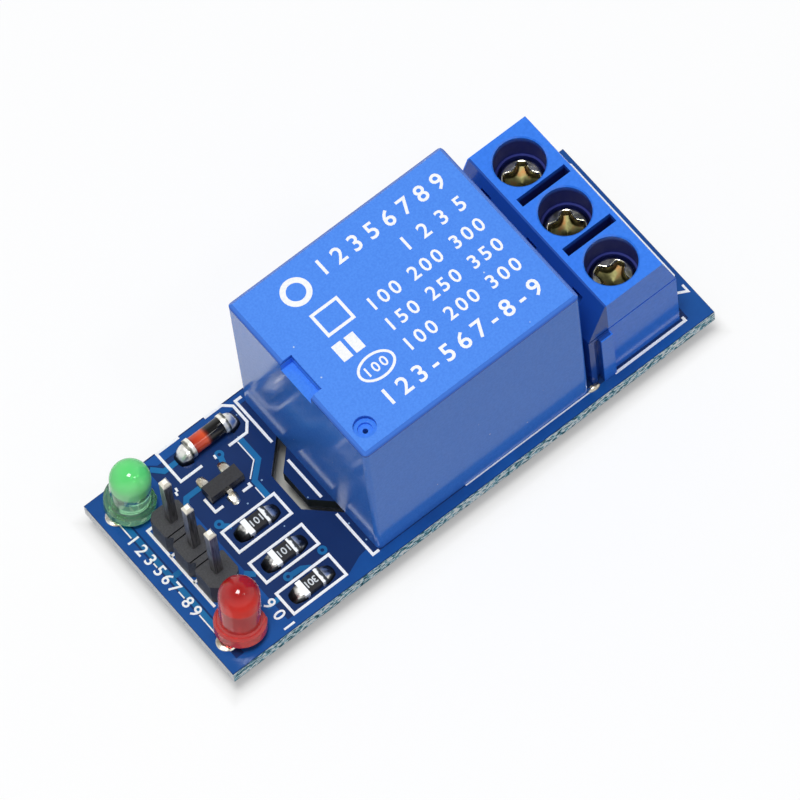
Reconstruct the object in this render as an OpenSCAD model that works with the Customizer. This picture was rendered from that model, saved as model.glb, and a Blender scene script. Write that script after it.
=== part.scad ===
// Single-channel relay module: a narrow circuit board that carries a sealed relay, a three-way screw
// terminal, a three-pin header, two indicator lamps and the small driver parts between them.
// X runs along the board from the header end to the terminal end, Y across it, and +Z is up.
// The origin is under the middle of the board, in the plane of the trimmed pin ends it stands on.

/* [Board] */
// Length of the board
board_l = 43.4; // [42.4:0.1:50]
// Width of the board
board_w = 17; // [16.6:0.1:22]
// Thickness of the board
board_t = 1.2; // [0.8:0.1:2]
// How far the trimmed pins stand out under the board
pin_stand = 1.8; // [1.2:0.1:3]
// Width of the milled isolation slot round the common pin
slot_w = 0.8; // [0.5:0.1:1]
// From the common pin to the outer edge of that slot
slot_reach = 4.1; // [3.6:0.1:4.3]
// From the common pin to the ends of the slot, towards the terminal
slot_end = 1.3; // [0.8:0.1:1.5]
// Radial room between a pin and its hole in the board
hole_room = 0.15; // [0.1:0.05:0.25]
// Height of the solder cones under the board
solder_h = 1; // [0.8:0.05:1.2]
// Thickness of the solder at the edge of a pad and round a pin
solder_skin = 0.05; // [0.04:0.01:0.08]

/* [Relay case] */
// From the header end of the board to the relay
relay_start = 13.75; // [13.4:0.05:14.2]
// Sideways place of the relay from the middle of the board
relay_side = 0.1; // [-0.2:0.1:0.4]
// Length of the relay case
relay_l = 19.05; // [18.8:0.05:19.3]
// Width of the relay case
relay_w = 15.4; // [15:0.1:15.8]
// Height of the relay case
relay_h = 15.2; // [15:0.1:16.5]
// Wall of the relay case
case_wall = 0.8; // [0.6:0.05:0.9]
// Bevel round the top of the case
case_bevel = 0.3; // [0.15:0.05:0.5]
// Radius of the upright corners of the case
case_corner_r = 0.4; // [0.2:0.05:0.6]
// Width of the notch in the top edge at the header end
notch_w = 3.4; // [2.4:0.1:4.5]
// Depth of the notch into the case
notch_in = 1; // [0.6:0.1:1.2]
// Height of the notch
notch_h = 1.1; // [0.6:0.1:1.4]
// Radius of the vent dimple
vent_r = 0.85; // [0.6:0.05:1]
// Depth of the vent dimple
vent_depth = 0.45; // [0.2:0.05:0.5]
// Radius of the ring at the bottom of the dimple
vent_ring_r = 0.55; // [0.4:0.05:0.6]
// Radius of the vent hole
vent_hole_r = 0.2; // [0.1:0.05:0.3]
// From the header-end face to the vent
vent_from_end = 1.45; // [1.2:0.05:2]
// From the near side face to the vent
vent_from_side = 1.8; // [1.4:0.05:2.4]
// Thickness of the base plate that closes the case
base_t = 1.1; // [0.8:0.05:1.2]
// Room between the base plate and the case
base_room = 0.08; // [0.03:0.01:0.1]
// How far the base plate stands above the board
base_lift = 0.2; // [0.1:0.05:0.3]

/* [Relay mechanism] */
// From the header-end face of the relay to its common pin
com_inset = 1.9; // [1.7:0.05:2.1]
// From the common pin along the relay to the coil pins
coil_pin_along = 2; // [1.9:0.05:2.1]
// From the common pin along the relay to the contact pins
contact_pin_along = 14.2; // [14:0.05:14.4]
// From the relay's middle line sideways to the coil and contact pins
pin_aside = 6; // [5.9:0.05:6.1]
// Side of the square coil pins
coil_pin_w = 0.6; // [0.4:0.05:0.7]
// Thickness of the stamped contact strips
strip_t = 0.45; // [0.3:0.05:0.5]
// Width of the contact strips above the base
strip_w = 1.8; // [1.4:0.1:2.2]
// Width of the contact pins through the board
contact_pin_w = 0.9; // [0.6:0.05:1.1]
// Thickness of the yoke
yoke_t = 1.1; // [0.9:0.05:1.2]
// Width of the yoke
yoke_w = 9; // [7:0.5:10]
// Room between the upper contact strip and the top of the case
top_room = 0.92; // [0.8:0.02:1.1]
// Gap between the yoke's edge and the armature that rocks on it
rocking_gap = 0.08; // [0.05:0.01:0.12]
// Radius of the core
core_r = 1.5; // [1.2:0.05:1.7]
// Radius of the core's pole head
pole_r = 2.5; // [2.2:0.1:3]
// Thickness of the pole head
pole_t = 0.5; // [0.4:0.05:0.6]
// Wall of the bobbin's tube
tube_wall = 0.6; // [0.4:0.05:0.7]
// Thickness of the bobbin's flanges
flange_t = 0.7; // [0.5:0.05:0.8]
// Length of the bobbin's flanges
flange_l = 9.8; // [9:0.1:10]
// Width of the bobbin's flanges
flange_w = 13.2; // [12.8:0.1:13.4]
// Radius of the copper winding
winding_r = 4.4; // [3.6:0.1:4.6]
// Thickness of the armature
armature_t = 1; // [0.8:0.05:1.2]
// Width of the armature
armature_w = 8; // [6:0.5:9]
// Swing of the armature in degrees
armature_swing = 3.5; // [3:0.1:3.6]
// Gap left at the pole when the armature is pulled in
pole_gap = 0.06; // [0.04:0.01:0.1]
// Thickness of the contact spring
spring_t = 0.2; // [0.15:0.05:0.3]
// Width of the contact spring
spring_w = 3.6; // [3:0.1:4]
// Radius of the contact buttons
button_r = 1.1; // [0.8:0.05:1.2]
// Thickness of the fixed contact buttons
button_t = 0.4; // [0.3:0.05:0.5]
// How far the moving contact stands out on each side of its spring
moving_button = 0.5; // [0.4:0.05:0.6]
// Gap left between closed contacts
contact_gap = 0.05; // [0.03:0.01:0.1]

/* [Screw terminal] */
// From the header end of the board to the row of screws
screw_row = 37.55; // [37.5:0.05:37.9]
// Sideways place of the middle screw from the middle of the board
terminal_side = 0.25; // [0:0.05:0.5]
// Number of ways
ways = 3; // [3:1:3]
// Distance between the ways
pitch = 5.08; // [5:0.02:5.1]
// Height of the terminal block
terminal_h = 10.2; // [9.9:0.1:11]
// From the screw row to the relay-side face at the foot
foot_back = 4.3; // [4.15:0.05:4.35]
// From the screw row to the wire-entry face at the foot
foot_front = 3.6; // [3.3:0.1:3.9]
// From the screw row to the relay-side edge of the top
top_back = 2.65; // [2.4:0.05:3]
// From the screw row to the wire-entry edge of the top
top_front = 2.55; // [2.3:0.05:2.9]
// Height at which the sloping faces begin
slope_start = 6.6; // [6.2:0.1:7]
// Radius of the screwdriver wells
well_r = 1.92; // [1.86:0.02:2]
// Radial room round a screw head in its seat at the bottom of the well
head_room = 0.1; // [0.08:0.01:0.1]
// Depth of a well down to the ledge under the screw head
well_depth = 3.9; // [3.7:0.1:4.1]
// Width and height of the bevel round a well's rim
rim_step = 0.1; // [0.05:0.05:0.2]
// Thickness of that ledge
ledge_t = 0.4; // [0.3:0.05:0.6]
// Width of the core-out slots between the ways
core_slot_w = 0.75; // [0.5:0.05:0.8]
// Length of those slots
core_slot_l = 4.3; // [3.4:0.1:4.6]
// Depth of those slots
core_slot_depth = 2.6; // [1:0.1:3]
// Width of the pockets that hold the cages
pocket_w = 4.2; // [4.1:0.05:4.4]
// From the screw row to the pocket's wall behind the pin strip
pocket_back = 3.5; // [3.4:0.05:3.6]
// From the screw row to the pocket's wall at the wire entry
pocket_front = 2.4; // [2.3:0.05:2.6]
// Width of the wire entries
entry_w = 3.5; // [3:0.1:3.9]
// Height of the wire entries
entry_h = 3.6; // [3:0.1:3.9]
// Height of the lower lip of the wire entries
entry_sill = 0.7; // [0.5:0.05:0.9]
// Width of the small windows in the sloping relay-side face
window_w = 1.1; // [0.7:0.1:1.6]
// From the top down to the upper edge of those windows
window_drop = 0.9; // [0.6:0.1:1.4]
// Height of those windows
window_h = 1.8; // [1:0.1:2.2]
// Width of the joining rib on the near end
rib_w = 1.05; // [0.8:0.05:1.3]
// How far the rib stands out
rib_out = 0.35; // [0.2:0.05:0.5]
// Height of the rib
rib_h = 6.2; // [5:0.1:6.4]
// Distance from the relay-side face to the rib
rib_inset = 0.85; // [0.8:0.05:1.1]

/* [Clamp screws and cages] */
// Radius of the screw heads
head_r = 1.65; // [1.5:0.05:1.75]
// Height of the screw heads
head_h = 1.3; // [1:0.05:1.4]
// Width of the driver slots in the screw heads
driver_w = 0.55; // [0.4:0.05:0.7]
// Depth of the driver slots
driver_depth = 0.7; // [0.4:0.05:0.8]
// Radius of the screw shanks
shank_r = 1.3; // [1.2:0.05:1.35]
// Radial running room round a shank
shank_room = 0.06; // [0.03:0.01:0.1]
// Length of a cage along the wire
cage_l = 4.3; // [4:0.1:4.4]
// Running room between a cage and its pocket
cage_room = 0.15; // [0.1:0.05:0.2]
// Side walls of a cage
cage_wall = 0.5; // [0.4:0.05:0.55]
// Thickness of a cage's threaded top
cage_top = 1; // [0.8:0.05:1]
// Height of a cage's opening
cage_opening = 2.4; // [2.3:0.05:2.4]
// Thickness of a cage's floor
cage_floor = 0.6; // [0.5:0.05:0.6]
// Height of an open cage above the board
cage_lift = 0.3; // [0.2:0.05:0.3]
// How far a cage rises when its screw is tightened
cage_rise = 1.5; // [1:0.1:1.5]
// Thickness of the terminal pin strips
pin_strip_t = 0.5; // [0.4:0.05:0.5]
// Width of the strips inside the cages
pin_strip_w = 2.4; // [1.8:0.1:2.5]
// Width of the terminal pins through the board
terminal_pin_w = 1; // [0.8:0.05:1.1]

/* [Pin header] */
// From the header end of the board to the row of pins
header_row = 3.6; // [3.4:0.05:3.9]
// Sideways place of the middle pin from the middle of the board
header_side = 0.15; // [0:0.05:0.3]
// Distance between the header pins
header_pitch = 2.54; // [2.5:0.01:2.54]
// Width of the header housing along the board
housing_w = 2.5; // [2.3:0.05:2.6]
// Height of the header housing
housing_h = 2.5; // [2.3:0.1:2.8]
// Corner cut on each cell of the housing
cell_cut = 0.45; // [0.2:0.05:0.6]
// Side of the square header pins
header_pin_w = 0.64; // [0.5:0.01:0.66]
// Length of the pins above the housing
header_pin_up = 6; // [5:0.1:7]
// Height of the bevelled tip of a pin
tip_bevel = 0.25; // [0.1:0.05:0.4]

/* [Indicator lamps] */
// From the header end of the board to the middle of the lamps
lamp_row = 2.5; // [2.45:0.05:3]
// From the board's middle to the near lamp
near_lamp_side = -6.2; // [-6.2:0.05:-6]
// From the board's middle to the far lamp
far_lamp_side = 6.4; // [6.4:0.05:6.6]
// Radius of a lamp's body
lamp_r = 1.5; // [1.4:0.05:1.55]
// Radius of a lamp's flange
lamp_flange_r = 1.9; // [1.75:0.05:1.95]
// Thickness of a lamp's flange
lamp_flange_t = 1; // [0.8:0.05:1.2]
// Height of a lamp
lamp_h = 5.3; // [4.8:0.1:5.6]
// Height of a lamp's flange above the board
lamp_seat = 0.5; // [0.45:0.05:0.7]
// Distance between the legs of a lamp
leg_pitch = 2.54; // [2.3:0.02:2.6]
// Side of the square legs
leg_w = 0.45; // [0.35:0.05:0.5]
// How far the straight part of a leg reaches into the lens, where the leaning part begins
leg_reach = 0.3; // [0.25:0.05:0.4]
// How far a leg steps inwards above the flange, so that it stays inside the round lens
leg_step = 0.2; // [0.15:0.05:0.3]
// Height of the legs inside the lens up to their heads
head_h_in_lens = 2; // [1.6:0.1:2.4]
// Lean of the near lamp about X and Y in degrees
near_lamp_lean = [-6, 8.5, 0];
// Lean of the far lamp about X and Y in degrees
far_lamp_lean = [2.5, 4.5, 0];

/* [Driver parts] */
// From the header end of the board to the middle of the resistors
resistor_row = 8.5; // [8.4:0.1:8.8]
// From the board's middle to the middle resistor
resistor_side = -3.55; // [-3.7:0.05:-3.4]
// Distance between the resistors
resistor_pitch = 3.1; // [2.9:0.05:3.2]
// Length of a resistor's ceramic body
resistor_l = 1.95; // [1.8:0.05:2.05]
// Width of a resistor's ceramic body
resistor_w = 1.2; // [1.1:0.05:1.3]
// Thickness of a resistor's ceramic body
resistor_t = 0.5; // [0.4:0.05:0.6]
// Length of a resistor's plated end
plated_end = 0.4; // [0.3:0.05:0.5]
// Thickness of that plating
plating_t = 0.04; // [0.03:0.01:0.06]
// From the header end of the board to the middle of the transistor
transistor_row = 8.45; // [8.4:0.05:8.7]
// From the board's middle to the middle of the transistor
transistor_side = 3.3; // [3.2:0.05:3.5]
// Length of the transistor's body
transistor_l = 2.9; // [2.7:0.05:3]
// Width of the transistor's body
transistor_w = 1.3; // [1.2:0.05:1.4]
// Height of the transistor's body
transistor_h = 0.95; // [0.9:0.05:1.1]
// From leg tip to leg tip across the transistor
transistor_span = 2.5; // [2.3:0.05:2.6]
// From the header end of the board to the middle of the diode
diode_row = 9.8; // [9.6:0.05:10]
// From the board's middle to the diode
diode_side = 6.9; // [6.8:0.05:7]
// Length of the diode
diode_l = 3.5; // [3.3:0.05:3.7]
// Radius of the diode's end caps
diode_cap_r = 0.75; // [0.65:0.05:0.85]
// Length of the diode's end caps
diode_cap_l = 0.45; // [0.3:0.05:0.5]
// How much smaller the glass is than the caps
diode_glass_drop = 0.08; // [0.04:0.01:0.12]
// Length of the solder at the end of a surface part
solder_l = 0.6; // [0.4:0.05:0.7]

/* [Hidden] */
$fn = 48;
cut = 0.01;
// The board's top face, on which everything stands
deck = pin_stand + board_t;
// From a pin's trimmed end to the board's top face
pin_drop = deck;
header_end = -board_l / 2;

// Places of the relay's parts, from the middle of the relay
relay_at = [header_end + relay_start + relay_l / 2, relay_side, deck];
com_x = com_inset - relay_l / 2;
coil_pin_x = com_x + coil_pin_along;
contact_x = com_x + contact_pin_along;
yoke_back = com_x + strip_t / 2;
yoke_front = yoke_back + yoke_t;
base_top = base_lift + base_t;
leg_z = base_top + 0.05;
bobbin_z = leg_z + yoke_t + 0.05;
bobbin_room = 0.08;
coil_x = yoke_front + bobbin_room + flange_l / 2;
tube_r = core_r + 0.05 + tube_wall;
// Heights of the swinging parts, from the top of the case down to the yoke
yoke_h = relay_h - case_wall - top_room - strip_t - button_t - contact_gap - moving_button - spring_t
    - rocking_gap;
pivot_x = (yoke_back + yoke_front) / 2;
armature_z = yoke_h + rocking_gap;
pole_reach = coil_x + pole_r - pivot_x;
pole_z = armature_z - pole_reach * tan(armature_swing) - pole_gap;
bobbin_top = pole_z - pole_t - 0.05;
armature_x0 = yoke_back + 0.25;
armature_x1 = coil_x + pole_r + 0.4;
spring_z = armature_z + armature_t;
contact_z = armature_z;
step_x0 = armature_x1 + 0.3;
step_x1 = step_x0 + 1.2;
spring_x1 = contact_x + button_r + 0.2;
tail_gap = 0.08;
tail_x = yoke_back - tail_gap - spring_t;
tail_z = 7;
rivet_r = 0.6;
rivet_at = [coil_x - 2, coil_x + 0.6];
closed_z = contact_z + spring_t + moving_button + contact_gap;
contact_drop = (contact_x + button_r - pivot_x) * sin(armature_swing);
open_z = contact_z - moving_button - contact_drop - contact_gap;

// Places of the terminal's parts, from the foot of the middle screw
terminal_at = [header_end + screw_row, terminal_side, deck];
terminal_w = ways * pitch;
ledge_top = terminal_h - well_depth;
pocket_top = ledge_top - ledge_t;
cage_w = pocket_w - 2 * cage_room;
cage_h = cage_floor + cage_opening + cage_top;
strip_z = cage_lift + cage_floor + cage_opening - 0.05 - pin_strip_t;
shank_end = strip_z + pin_strip_t + 0.08;
head_z = ledge_top + 0.05;
pin_x = -pocket_back + 0.15 + pin_strip_t / 2;

// Places of the header, the lamps and the surface parts
header_at = [header_end + header_row, header_side, deck];
near_lamp_at = [header_end + lamp_row, near_lamp_side, deck];
far_lamp_at = [header_end + lamp_row, far_lamp_side, deck];
transistor_at = [header_end + transistor_row, transistor_side, deck];
diode_at = [header_end + diode_row, diode_side, deck];
chip_t = resistor_t + 2 * plating_t;
lead_t = 0.12;

function way_y(way) = (way - (ways + 1) / 2) * pitch;
function header_y(pin) = (2 - pin) * header_pitch;
function resistor_at(row) = [header_end + resistor_row, resistor_side + (2 - row) * resistor_pitch, deck];

// A block by its middle in X and Y and by its foot in Z
module block(size, at = [0, 0, 0]) {
    translate([at[0] - size[0] / 2, at[1] - size[1] / 2, at[2]]) cube(size);
}

// A rectangle with exact round corners
module round_rect(l, w, r) {
    square([l - 2 * r, w], center = true);
    square([l, w - 2 * r], center = true);
    for (sx = [-1, 1], sy = [-1, 1])
        translate([sx * (l / 2 - r), sy * (w / 2 - r)]) circle(r);
}

// A side view in X and Z, drawn out along Y over the width w about the middle
module drawn_across(w) {
    translate([0, w / 2, 0]) rotate([90, 0, 0]) linear_extrude(w) children();
}

// ---------------------------------------------------------------- board

// Every hole in the board: a pin's place from its own part, and the pin's half diagonal
function corner_r(a, b) = sqrt(a * a + b * b) / 2;

module board_holes() {
    translate(relay_at) {
        hole([com_x, 0], corner_r(strip_t, contact_pin_w));
        for (s = [-1, 1]) {
            hole([coil_pin_x, s * pin_aside], corner_r(coil_pin_w, coil_pin_w));
            hole([contact_x, s * pin_aside], corner_r(strip_t, contact_pin_w));
        }
    }
    translate(terminal_at)
        for (way = [1:ways]) hole([pin_x, way_y(way)], corner_r(pin_strip_t, terminal_pin_w));
    translate(header_at)
        for (pin = [1:3]) hole([0, header_y(pin)], corner_r(header_pin_w, header_pin_w));
    for (at = [near_lamp_at, far_lamp_at], s = [-1, 1])
        translate(at) hole([s * leg_pitch / 2, 0], corner_r(leg_w, leg_w));
}

module hole(at, pin_r) {
    translate([at[0], at[1], -board_t - cut]) cylinder(r = pin_r + hole_room, h = board_t + 2 * cut);
}

module octagon(reach, h) {
    rotate(22.5) cylinder(r = reach / cos(22.5), h = h, $fn = 8);
}

// The C-shaped slot that keeps the switched voltage away from the coil side
module isolation_slot() {
    translate([relay_at[0] + com_x, relay_side, pin_stand - cut])
        difference() {
            octagon(slot_reach, board_t + 2 * cut);
            translate([0, 0, -cut]) octagon(slot_reach - slot_w, board_t + 4 * cut);
            translate([slot_end, -slot_reach - 1, -cut])
                cube([slot_reach, 2 * slot_reach + 2, board_t + 4 * cut]);
        }
}

module circuit_board() color("#123a86")
    difference() {
        block([board_l, board_w, board_t], [0, 0, pin_stand]);
        isolation_slot();
        board_holes();
    }

// A turned solder cone under the board, hugging a rectangular pin
module joint(at, pin, pad_r) {
    neck_r = corner_r(pin[0], pin[1]) + solder_skin;
    translate([at[0], at[1], -board_t])
        difference() {
            rotate_extrude() polygon([[0, 0], [pad_r, 0], [pad_r, -solder_skin],
                [neck_r + 0.22 * solder_h, -0.45 * solder_h], [neck_r, -solder_h], [0, -solder_h]]);
            block([pin[0], pin[1], 2 * solder_h], [0, 0, -1.5 * solder_h]);
        }
}

// A low solder cap on the top pad of a lamp leg
module top_joint(at, pin, pad_r) {
    translate([at[0], at[1], 0])
        difference() {
            rotate_extrude() polygon([[0, 0], [pad_r, 0], [pad_r - 2 * solder_skin, 2 * solder_skin],
                [pin, 3 * solder_skin], [0, 3 * solder_skin]]);
            block([pin, pin, board_t], [0, 0, -board_t / 2]);
        }
}

module solder_joints() color("#c9c9c4") {
    translate(relay_at) {
        joint([com_x, 0], [strip_t, contact_pin_w], 1.3);
        for (s = [-1, 1]) {
            joint([coil_pin_x, s * pin_aside], [coil_pin_w, coil_pin_w], 1);
            joint([contact_x, s * pin_aside], [contact_pin_w, strip_t], 1.3);
        }
    }
    translate(terminal_at)
        for (way = [1:ways]) joint([pin_x, way_y(way)], [pin_strip_t, terminal_pin_w], 1.2);
    translate(header_at)
        for (pin = [1:3]) joint([0, header_y(pin)], [header_pin_w, header_pin_w], 0.9);
    for (at = [near_lamp_at, far_lamp_at], s = [-1, 1])
        translate(at) {
            joint([s * leg_pitch / 2, 0], [leg_w, leg_w], 0.8);
            top_joint([s * leg_pitch / 2, 0], leg_w, 0.8);
        }
}

// ---------------------------------------------------------------- relay

module case_outside() {
    b = case_bevel;
    l = relay_l / 2;
    w = relay_w / 2;
    intersection() {
        linear_extrude(relay_h) round_rect(relay_l, relay_w, case_corner_r);
        drawn_across(relay_w + 2)
            polygon([[-l, 0], [l, 0], [l, relay_h - b], [l - b, relay_h], [b - l, relay_h], [-l, relay_h - b]]);
        rotate(90) drawn_across(relay_l + 2)
            polygon([[-w, 0], [w, 0], [w, relay_h - b], [w - b, relay_h], [b - w, relay_h], [-w, relay_h - b]]);
    }
}

module relay_cover() color("#3f7fe8")
    translate(relay_at) {
        vent_at = [vent_from_end - relay_l / 2, vent_from_side - relay_w / 2, 0];
        difference() {
            case_outside();
            difference() {
                block([relay_l - 2 * case_wall, relay_w - 2 * case_wall, relay_h - case_wall + cut], [0, 0, -cut]);
                // Thicker wall behind the notch and under the vent
                block([2 * (notch_in + case_wall), notch_w + 2 * case_wall, notch_h + case_wall],
                    [-relay_l / 2, 0, relay_h - notch_h - case_wall]);
                translate([vent_at[0], vent_at[1], relay_h - 2 * case_wall])
                    cylinder(r = vent_r + 0.5, h = case_wall);
            }
            block([2 * notch_in, notch_w, notch_h + cut], [-relay_l / 2, 0, relay_h - notch_h]);
            translate([vent_at[0], vent_at[1], relay_h - vent_depth]) cylinder(r = vent_r, h = 1);
            translate([vent_at[0], vent_at[1], relay_h - vent_depth - 0.25]) cylinder(r = vent_ring_r, h = 1);
            translate([vent_at[0], vent_at[1], relay_h - 3]) cylinder(r = vent_hole_r, h = 3);
        }
    }

// The inside length and width of the case, less the base plate's room
base_l = relay_l - 2 * case_wall - 2 * base_room;
base_w = relay_w - 2 * case_wall - 2 * base_room;
slit = 0.06;

module relay_base() color("#2b56b8")
    translate(relay_at)
        difference() {
            block([base_l, base_w, base_t], [0, 0, base_lift]);
            translate([0, 0, base_lift - 1]) {
                block([strip_t + slit, strip_w + slit, 4], [com_x, 0, 0]);
                for (s = [-1, 1]) {
                    block([coil_pin_w + slit, coil_pin_w + slit, 4], [coil_pin_x, s * pin_aside, 0]);
                    block([strip_w + slit, strip_t + slit, 4], [contact_x, s * pin_aside, 0]);
                }
            }
        }

module coil_bobbin() color("#d8cfae")
    translate(relay_at)
        difference() {
            union() {
                block([flange_l, flange_w, flange_t], [coil_x, 0, bobbin_z]);
                block([flange_l, flange_w - 2, flange_t], [coil_x, 0, bobbin_top - flange_t]);
                translate([coil_x, 0, bobbin_z]) cylinder(r = tube_r, h = bobbin_top - bobbin_z);
            }
            translate([coil_x, 0, bobbin_z - 1]) cylinder(r = core_r + 0.05, h = bobbin_top - bobbin_z + 2);
            for (s = [-1, 1])
                block([coil_pin_w + slit, coil_pin_w + slit, 4], [coil_pin_x, s * pin_aside, bobbin_z - 1]);
        }

module coil_winding() color("#b5651d")
    translate(relay_at + [coil_x, 0, bobbin_z + flange_t])
        difference() {
            cylinder(r = winding_r, h = bobbin_top - bobbin_z - 2 * flange_t);
            translate([0, 0, -1]) cylinder(r = tube_r, h = 20);
        }

module coil_core() color("#9a9da0")
    translate(relay_at + [coil_x, 0, 0])
        rotate_extrude()
            polygon([[0, leg_z], [core_r, leg_z], [core_r, pole_z - pole_t], [pole_r, pole_z - pole_t],
                [pole_r, pole_z], [0, pole_z]]);

module relay_yoke() color("#8d9094")
    translate(relay_at)
        difference() {
            drawn_across(yoke_w)
                polygon([[yoke_back, leg_z], [coil_x + core_r + 1.2, leg_z],
                    [coil_x + core_r + 1.2, leg_z + yoke_t], [yoke_front, leg_z + yoke_t],
                    [yoke_front, yoke_h], [yoke_back, yoke_h]]);
            translate([coil_x, 0, leg_z - 1]) cylinder(r = core_r, h = yoke_t + 2);
        }

module coil_pin(side) color("#d0d0cc")
    translate(relay_at)
        block([coil_pin_w, coil_pin_w, pin_drop + bobbin_z + flange_t + 0.6],
            [coil_pin_x, side * pin_aside, -pin_drop]);

module common_strip() color("#c9a24a")
    translate(relay_at) {
        block([strip_t, contact_pin_w, pin_drop + base_lift], [com_x, 0, -pin_drop]);
        block([strip_t, strip_w, tail_z - 1 - base_lift], [com_x, 0, base_lift]);
    }

// A stamped strip that stands on one side and reaches in over the middle, with its contact button
module contact_strip(side, arm_z, button_z) {
    translate(relay_at) {
        block([contact_pin_w, strip_t, pin_drop + base_lift], [contact_x, side * pin_aside, -pin_drop]);
        block([strip_w, strip_t, arm_z + strip_t - base_lift], [contact_x, side * pin_aside, base_lift]);
        arm_w = pin_aside + strip_t / 2 + button_r;
        block([strip_w, arm_w, strip_t],
            [contact_x, side * (pin_aside + strip_t / 2 - arm_w / 2), arm_z]);
        // The button's shank runs on into the strip
        translate([contact_x, 0, min(button_z, arm_z)]) cylinder(r = button_r, h = button_t + strip_t);
    }
}

module closed_contact_strip() color("#c9a24a") contact_strip(-1, closed_z + button_t, closed_z);

module open_contact_strip() color("#c9a24a")
    contact_strip(1, open_z - button_t - strip_t, open_z - button_t);

module armature() color("#8d9094")
    translate(relay_at) {
        translate([armature_x0, -armature_w / 2, armature_z])
            cube([armature_x1 - armature_x0, armature_w, armature_t]);
        for (x = rivet_at) translate([x, 0, armature_z]) cylinder(r = rivet_r, h = armature_t + spring_t + 0.2);
    }

module contact_spring() color("#c58b3a")
    translate(relay_at)
        difference() {
            drawn_across(spring_w)
                polygon([[tail_x, tail_z], [tail_x + spring_t, tail_z], [tail_x + spring_t, spring_z],
                    [step_x0, spring_z], [step_x1, contact_z], [spring_x1, contact_z],
                    [spring_x1, contact_z + spring_t], [step_x1 + 0.05, contact_z + spring_t],
                    [step_x0 + 0.05, spring_z + spring_t], [tail_x, spring_z + spring_t]]);
            for (x = rivet_at) translate([x, 0, spring_z - 1]) cylinder(r = rivet_r + 0.03, h = 3);
            translate([contact_x, 0, contact_z - 1]) cylinder(r = rivet_r, h = 3);
        }

module moving_contact() color("#e0e0dc")
    translate(relay_at + [contact_x, 0, contact_z]) {
        translate([0, 0, -moving_button]) cylinder(r = button_r, h = moving_button);
        cylinder(r = rivet_r, h = spring_t);
        translate([0, 0, spring_t]) cylinder(r = button_r, h = moving_button);
    }

// ---------------------------------------------------------------- screw terminal

module terminal_housing() color("#2f7cf0")
    translate(terminal_at)
        difference() {
            union() {
                drawn_across(terminal_w)
                    polygon([[-foot_back, 0], [foot_front, 0], [foot_front, slope_start],
                        [top_front, terminal_h], [-top_back, terminal_h], [-foot_back, slope_start]]);
                // Joining rib on the near end
                translate([rib_inset - foot_back, -terminal_w / 2 - rib_out, 0]) cube([rib_w, rib_out + 1, rib_h]);
            }
            // Groove beside the rib, and the line where the slopes begin
            translate([rib_inset - foot_back - 0.4, -terminal_w / 2 - 1, -cut]) cube([0.4, 1.3, rib_h + cut]);
            translate([-foot_back - 1, -terminal_w / 2 - 1, slope_start - 0.08])
                cube([foot_back + foot_front + 2, 1.12, 0.16]);
            // Matching groove on the far end
            translate([rib_inset - foot_back, terminal_w / 2 - rib_out, -cut]) cube([rib_w, 1, rib_h]);
            for (way = [1:ways]) translate([0, way_y(way), 0]) way_hollow();
            for (gap = [1:ways - 1])
                block([core_slot_l, core_slot_w, core_slot_depth + 1],
                    [(top_front - top_back) / 2 + 0.15, way_y(gap) + pitch / 2, terminal_h - core_slot_depth]);
        }

// What is hollow in one way of the block
module way_hollow() {
    translate([0, 0, ledge_top]) cylinder(r = head_r + head_room, h = well_depth);
    translate([0, 0, head_z + head_h + 0.05]) cylinder(r = well_r, h = well_depth);
    translate([0, 0, terminal_h - rim_step])
        cylinder(r1 = well_r, r2 = well_r + 2 * rim_step, h = 2 * rim_step);
    translate([0, 0, pocket_top - 1]) cylinder(r = shank_r + shank_room, h = ledge_t + 2);
    translate([-pocket_back, -pocket_w / 2, -cut]) cube([pocket_back + pocket_front, pocket_w, pocket_top + cut]);
    translate([0, -entry_w / 2, entry_sill]) cube([foot_front + 1, entry_w, entry_h]);
    // Window into the slope, on the relay side
    translate([-foot_back - 1, -window_w / 2, terminal_h - window_drop - window_h])
        cube([foot_back + 1 - well_r - 0.55, window_w, window_h]);
}

module terminal_screw(way) color("#b9a25c")
    translate(terminal_at + [0, way_y(way), 0])
        difference() {
            rotate_extrude()
                polygon([[0, shank_end], [shank_r - 0.2, shank_end], [shank_r, shank_end + 0.2],
                    [shank_r, head_z], [head_r, head_z], [head_r, head_z + head_h - 0.25],
                    [head_r - 0.25, head_z + head_h], [0, head_z + head_h]]);
            for (turn = [0, 90])
                rotate(turn + 32)
                    block([2 * head_r + 1, driver_w, 2], [0, 0, head_z + head_h - driver_depth]);
        }

module terminal_cage(way) color("#c8c8c4")
    translate(terminal_at + [0, way_y(way), cage_lift])
        difference() {
            block([cage_l, cage_w, cage_h]);
            block([cage_l + 1, cage_w - 2 * cage_wall, cage_opening], [0, 0, cage_floor]);
            translate([0, 0, cage_h - cage_top - 0.5]) cylinder(r = shank_r + shank_room, h = cage_top + 1);
        }

module terminal_pin(way) color("#d0cfc8")
    translate(terminal_at + [0, way_y(way), 0]) {
        block([pin_strip_t, terminal_pin_w, pin_drop], [pin_x, 0, -pin_drop]);
        block([pin_strip_t, pin_strip_w, strip_z + pin_strip_t], [pin_x, 0, 0]);
        translate([pin_x, -pin_strip_w / 2, strip_z]) cube([cage_l / 2 - pin_x, pin_strip_w, pin_strip_t]);
    }

// ---------------------------------------------------------------- pin header

module header_cell() {
    w = housing_w / 2;
    p = header_pitch / 2;
    c = cell_cut;
    linear_extrude(housing_h)
        polygon([[-w, -p + c], [-w + c, -p], [w - c, -p], [w, -p + c], [w, p - c], [w - c, p], [-w + c, p],
            [-w, p - c]]);
}

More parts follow.
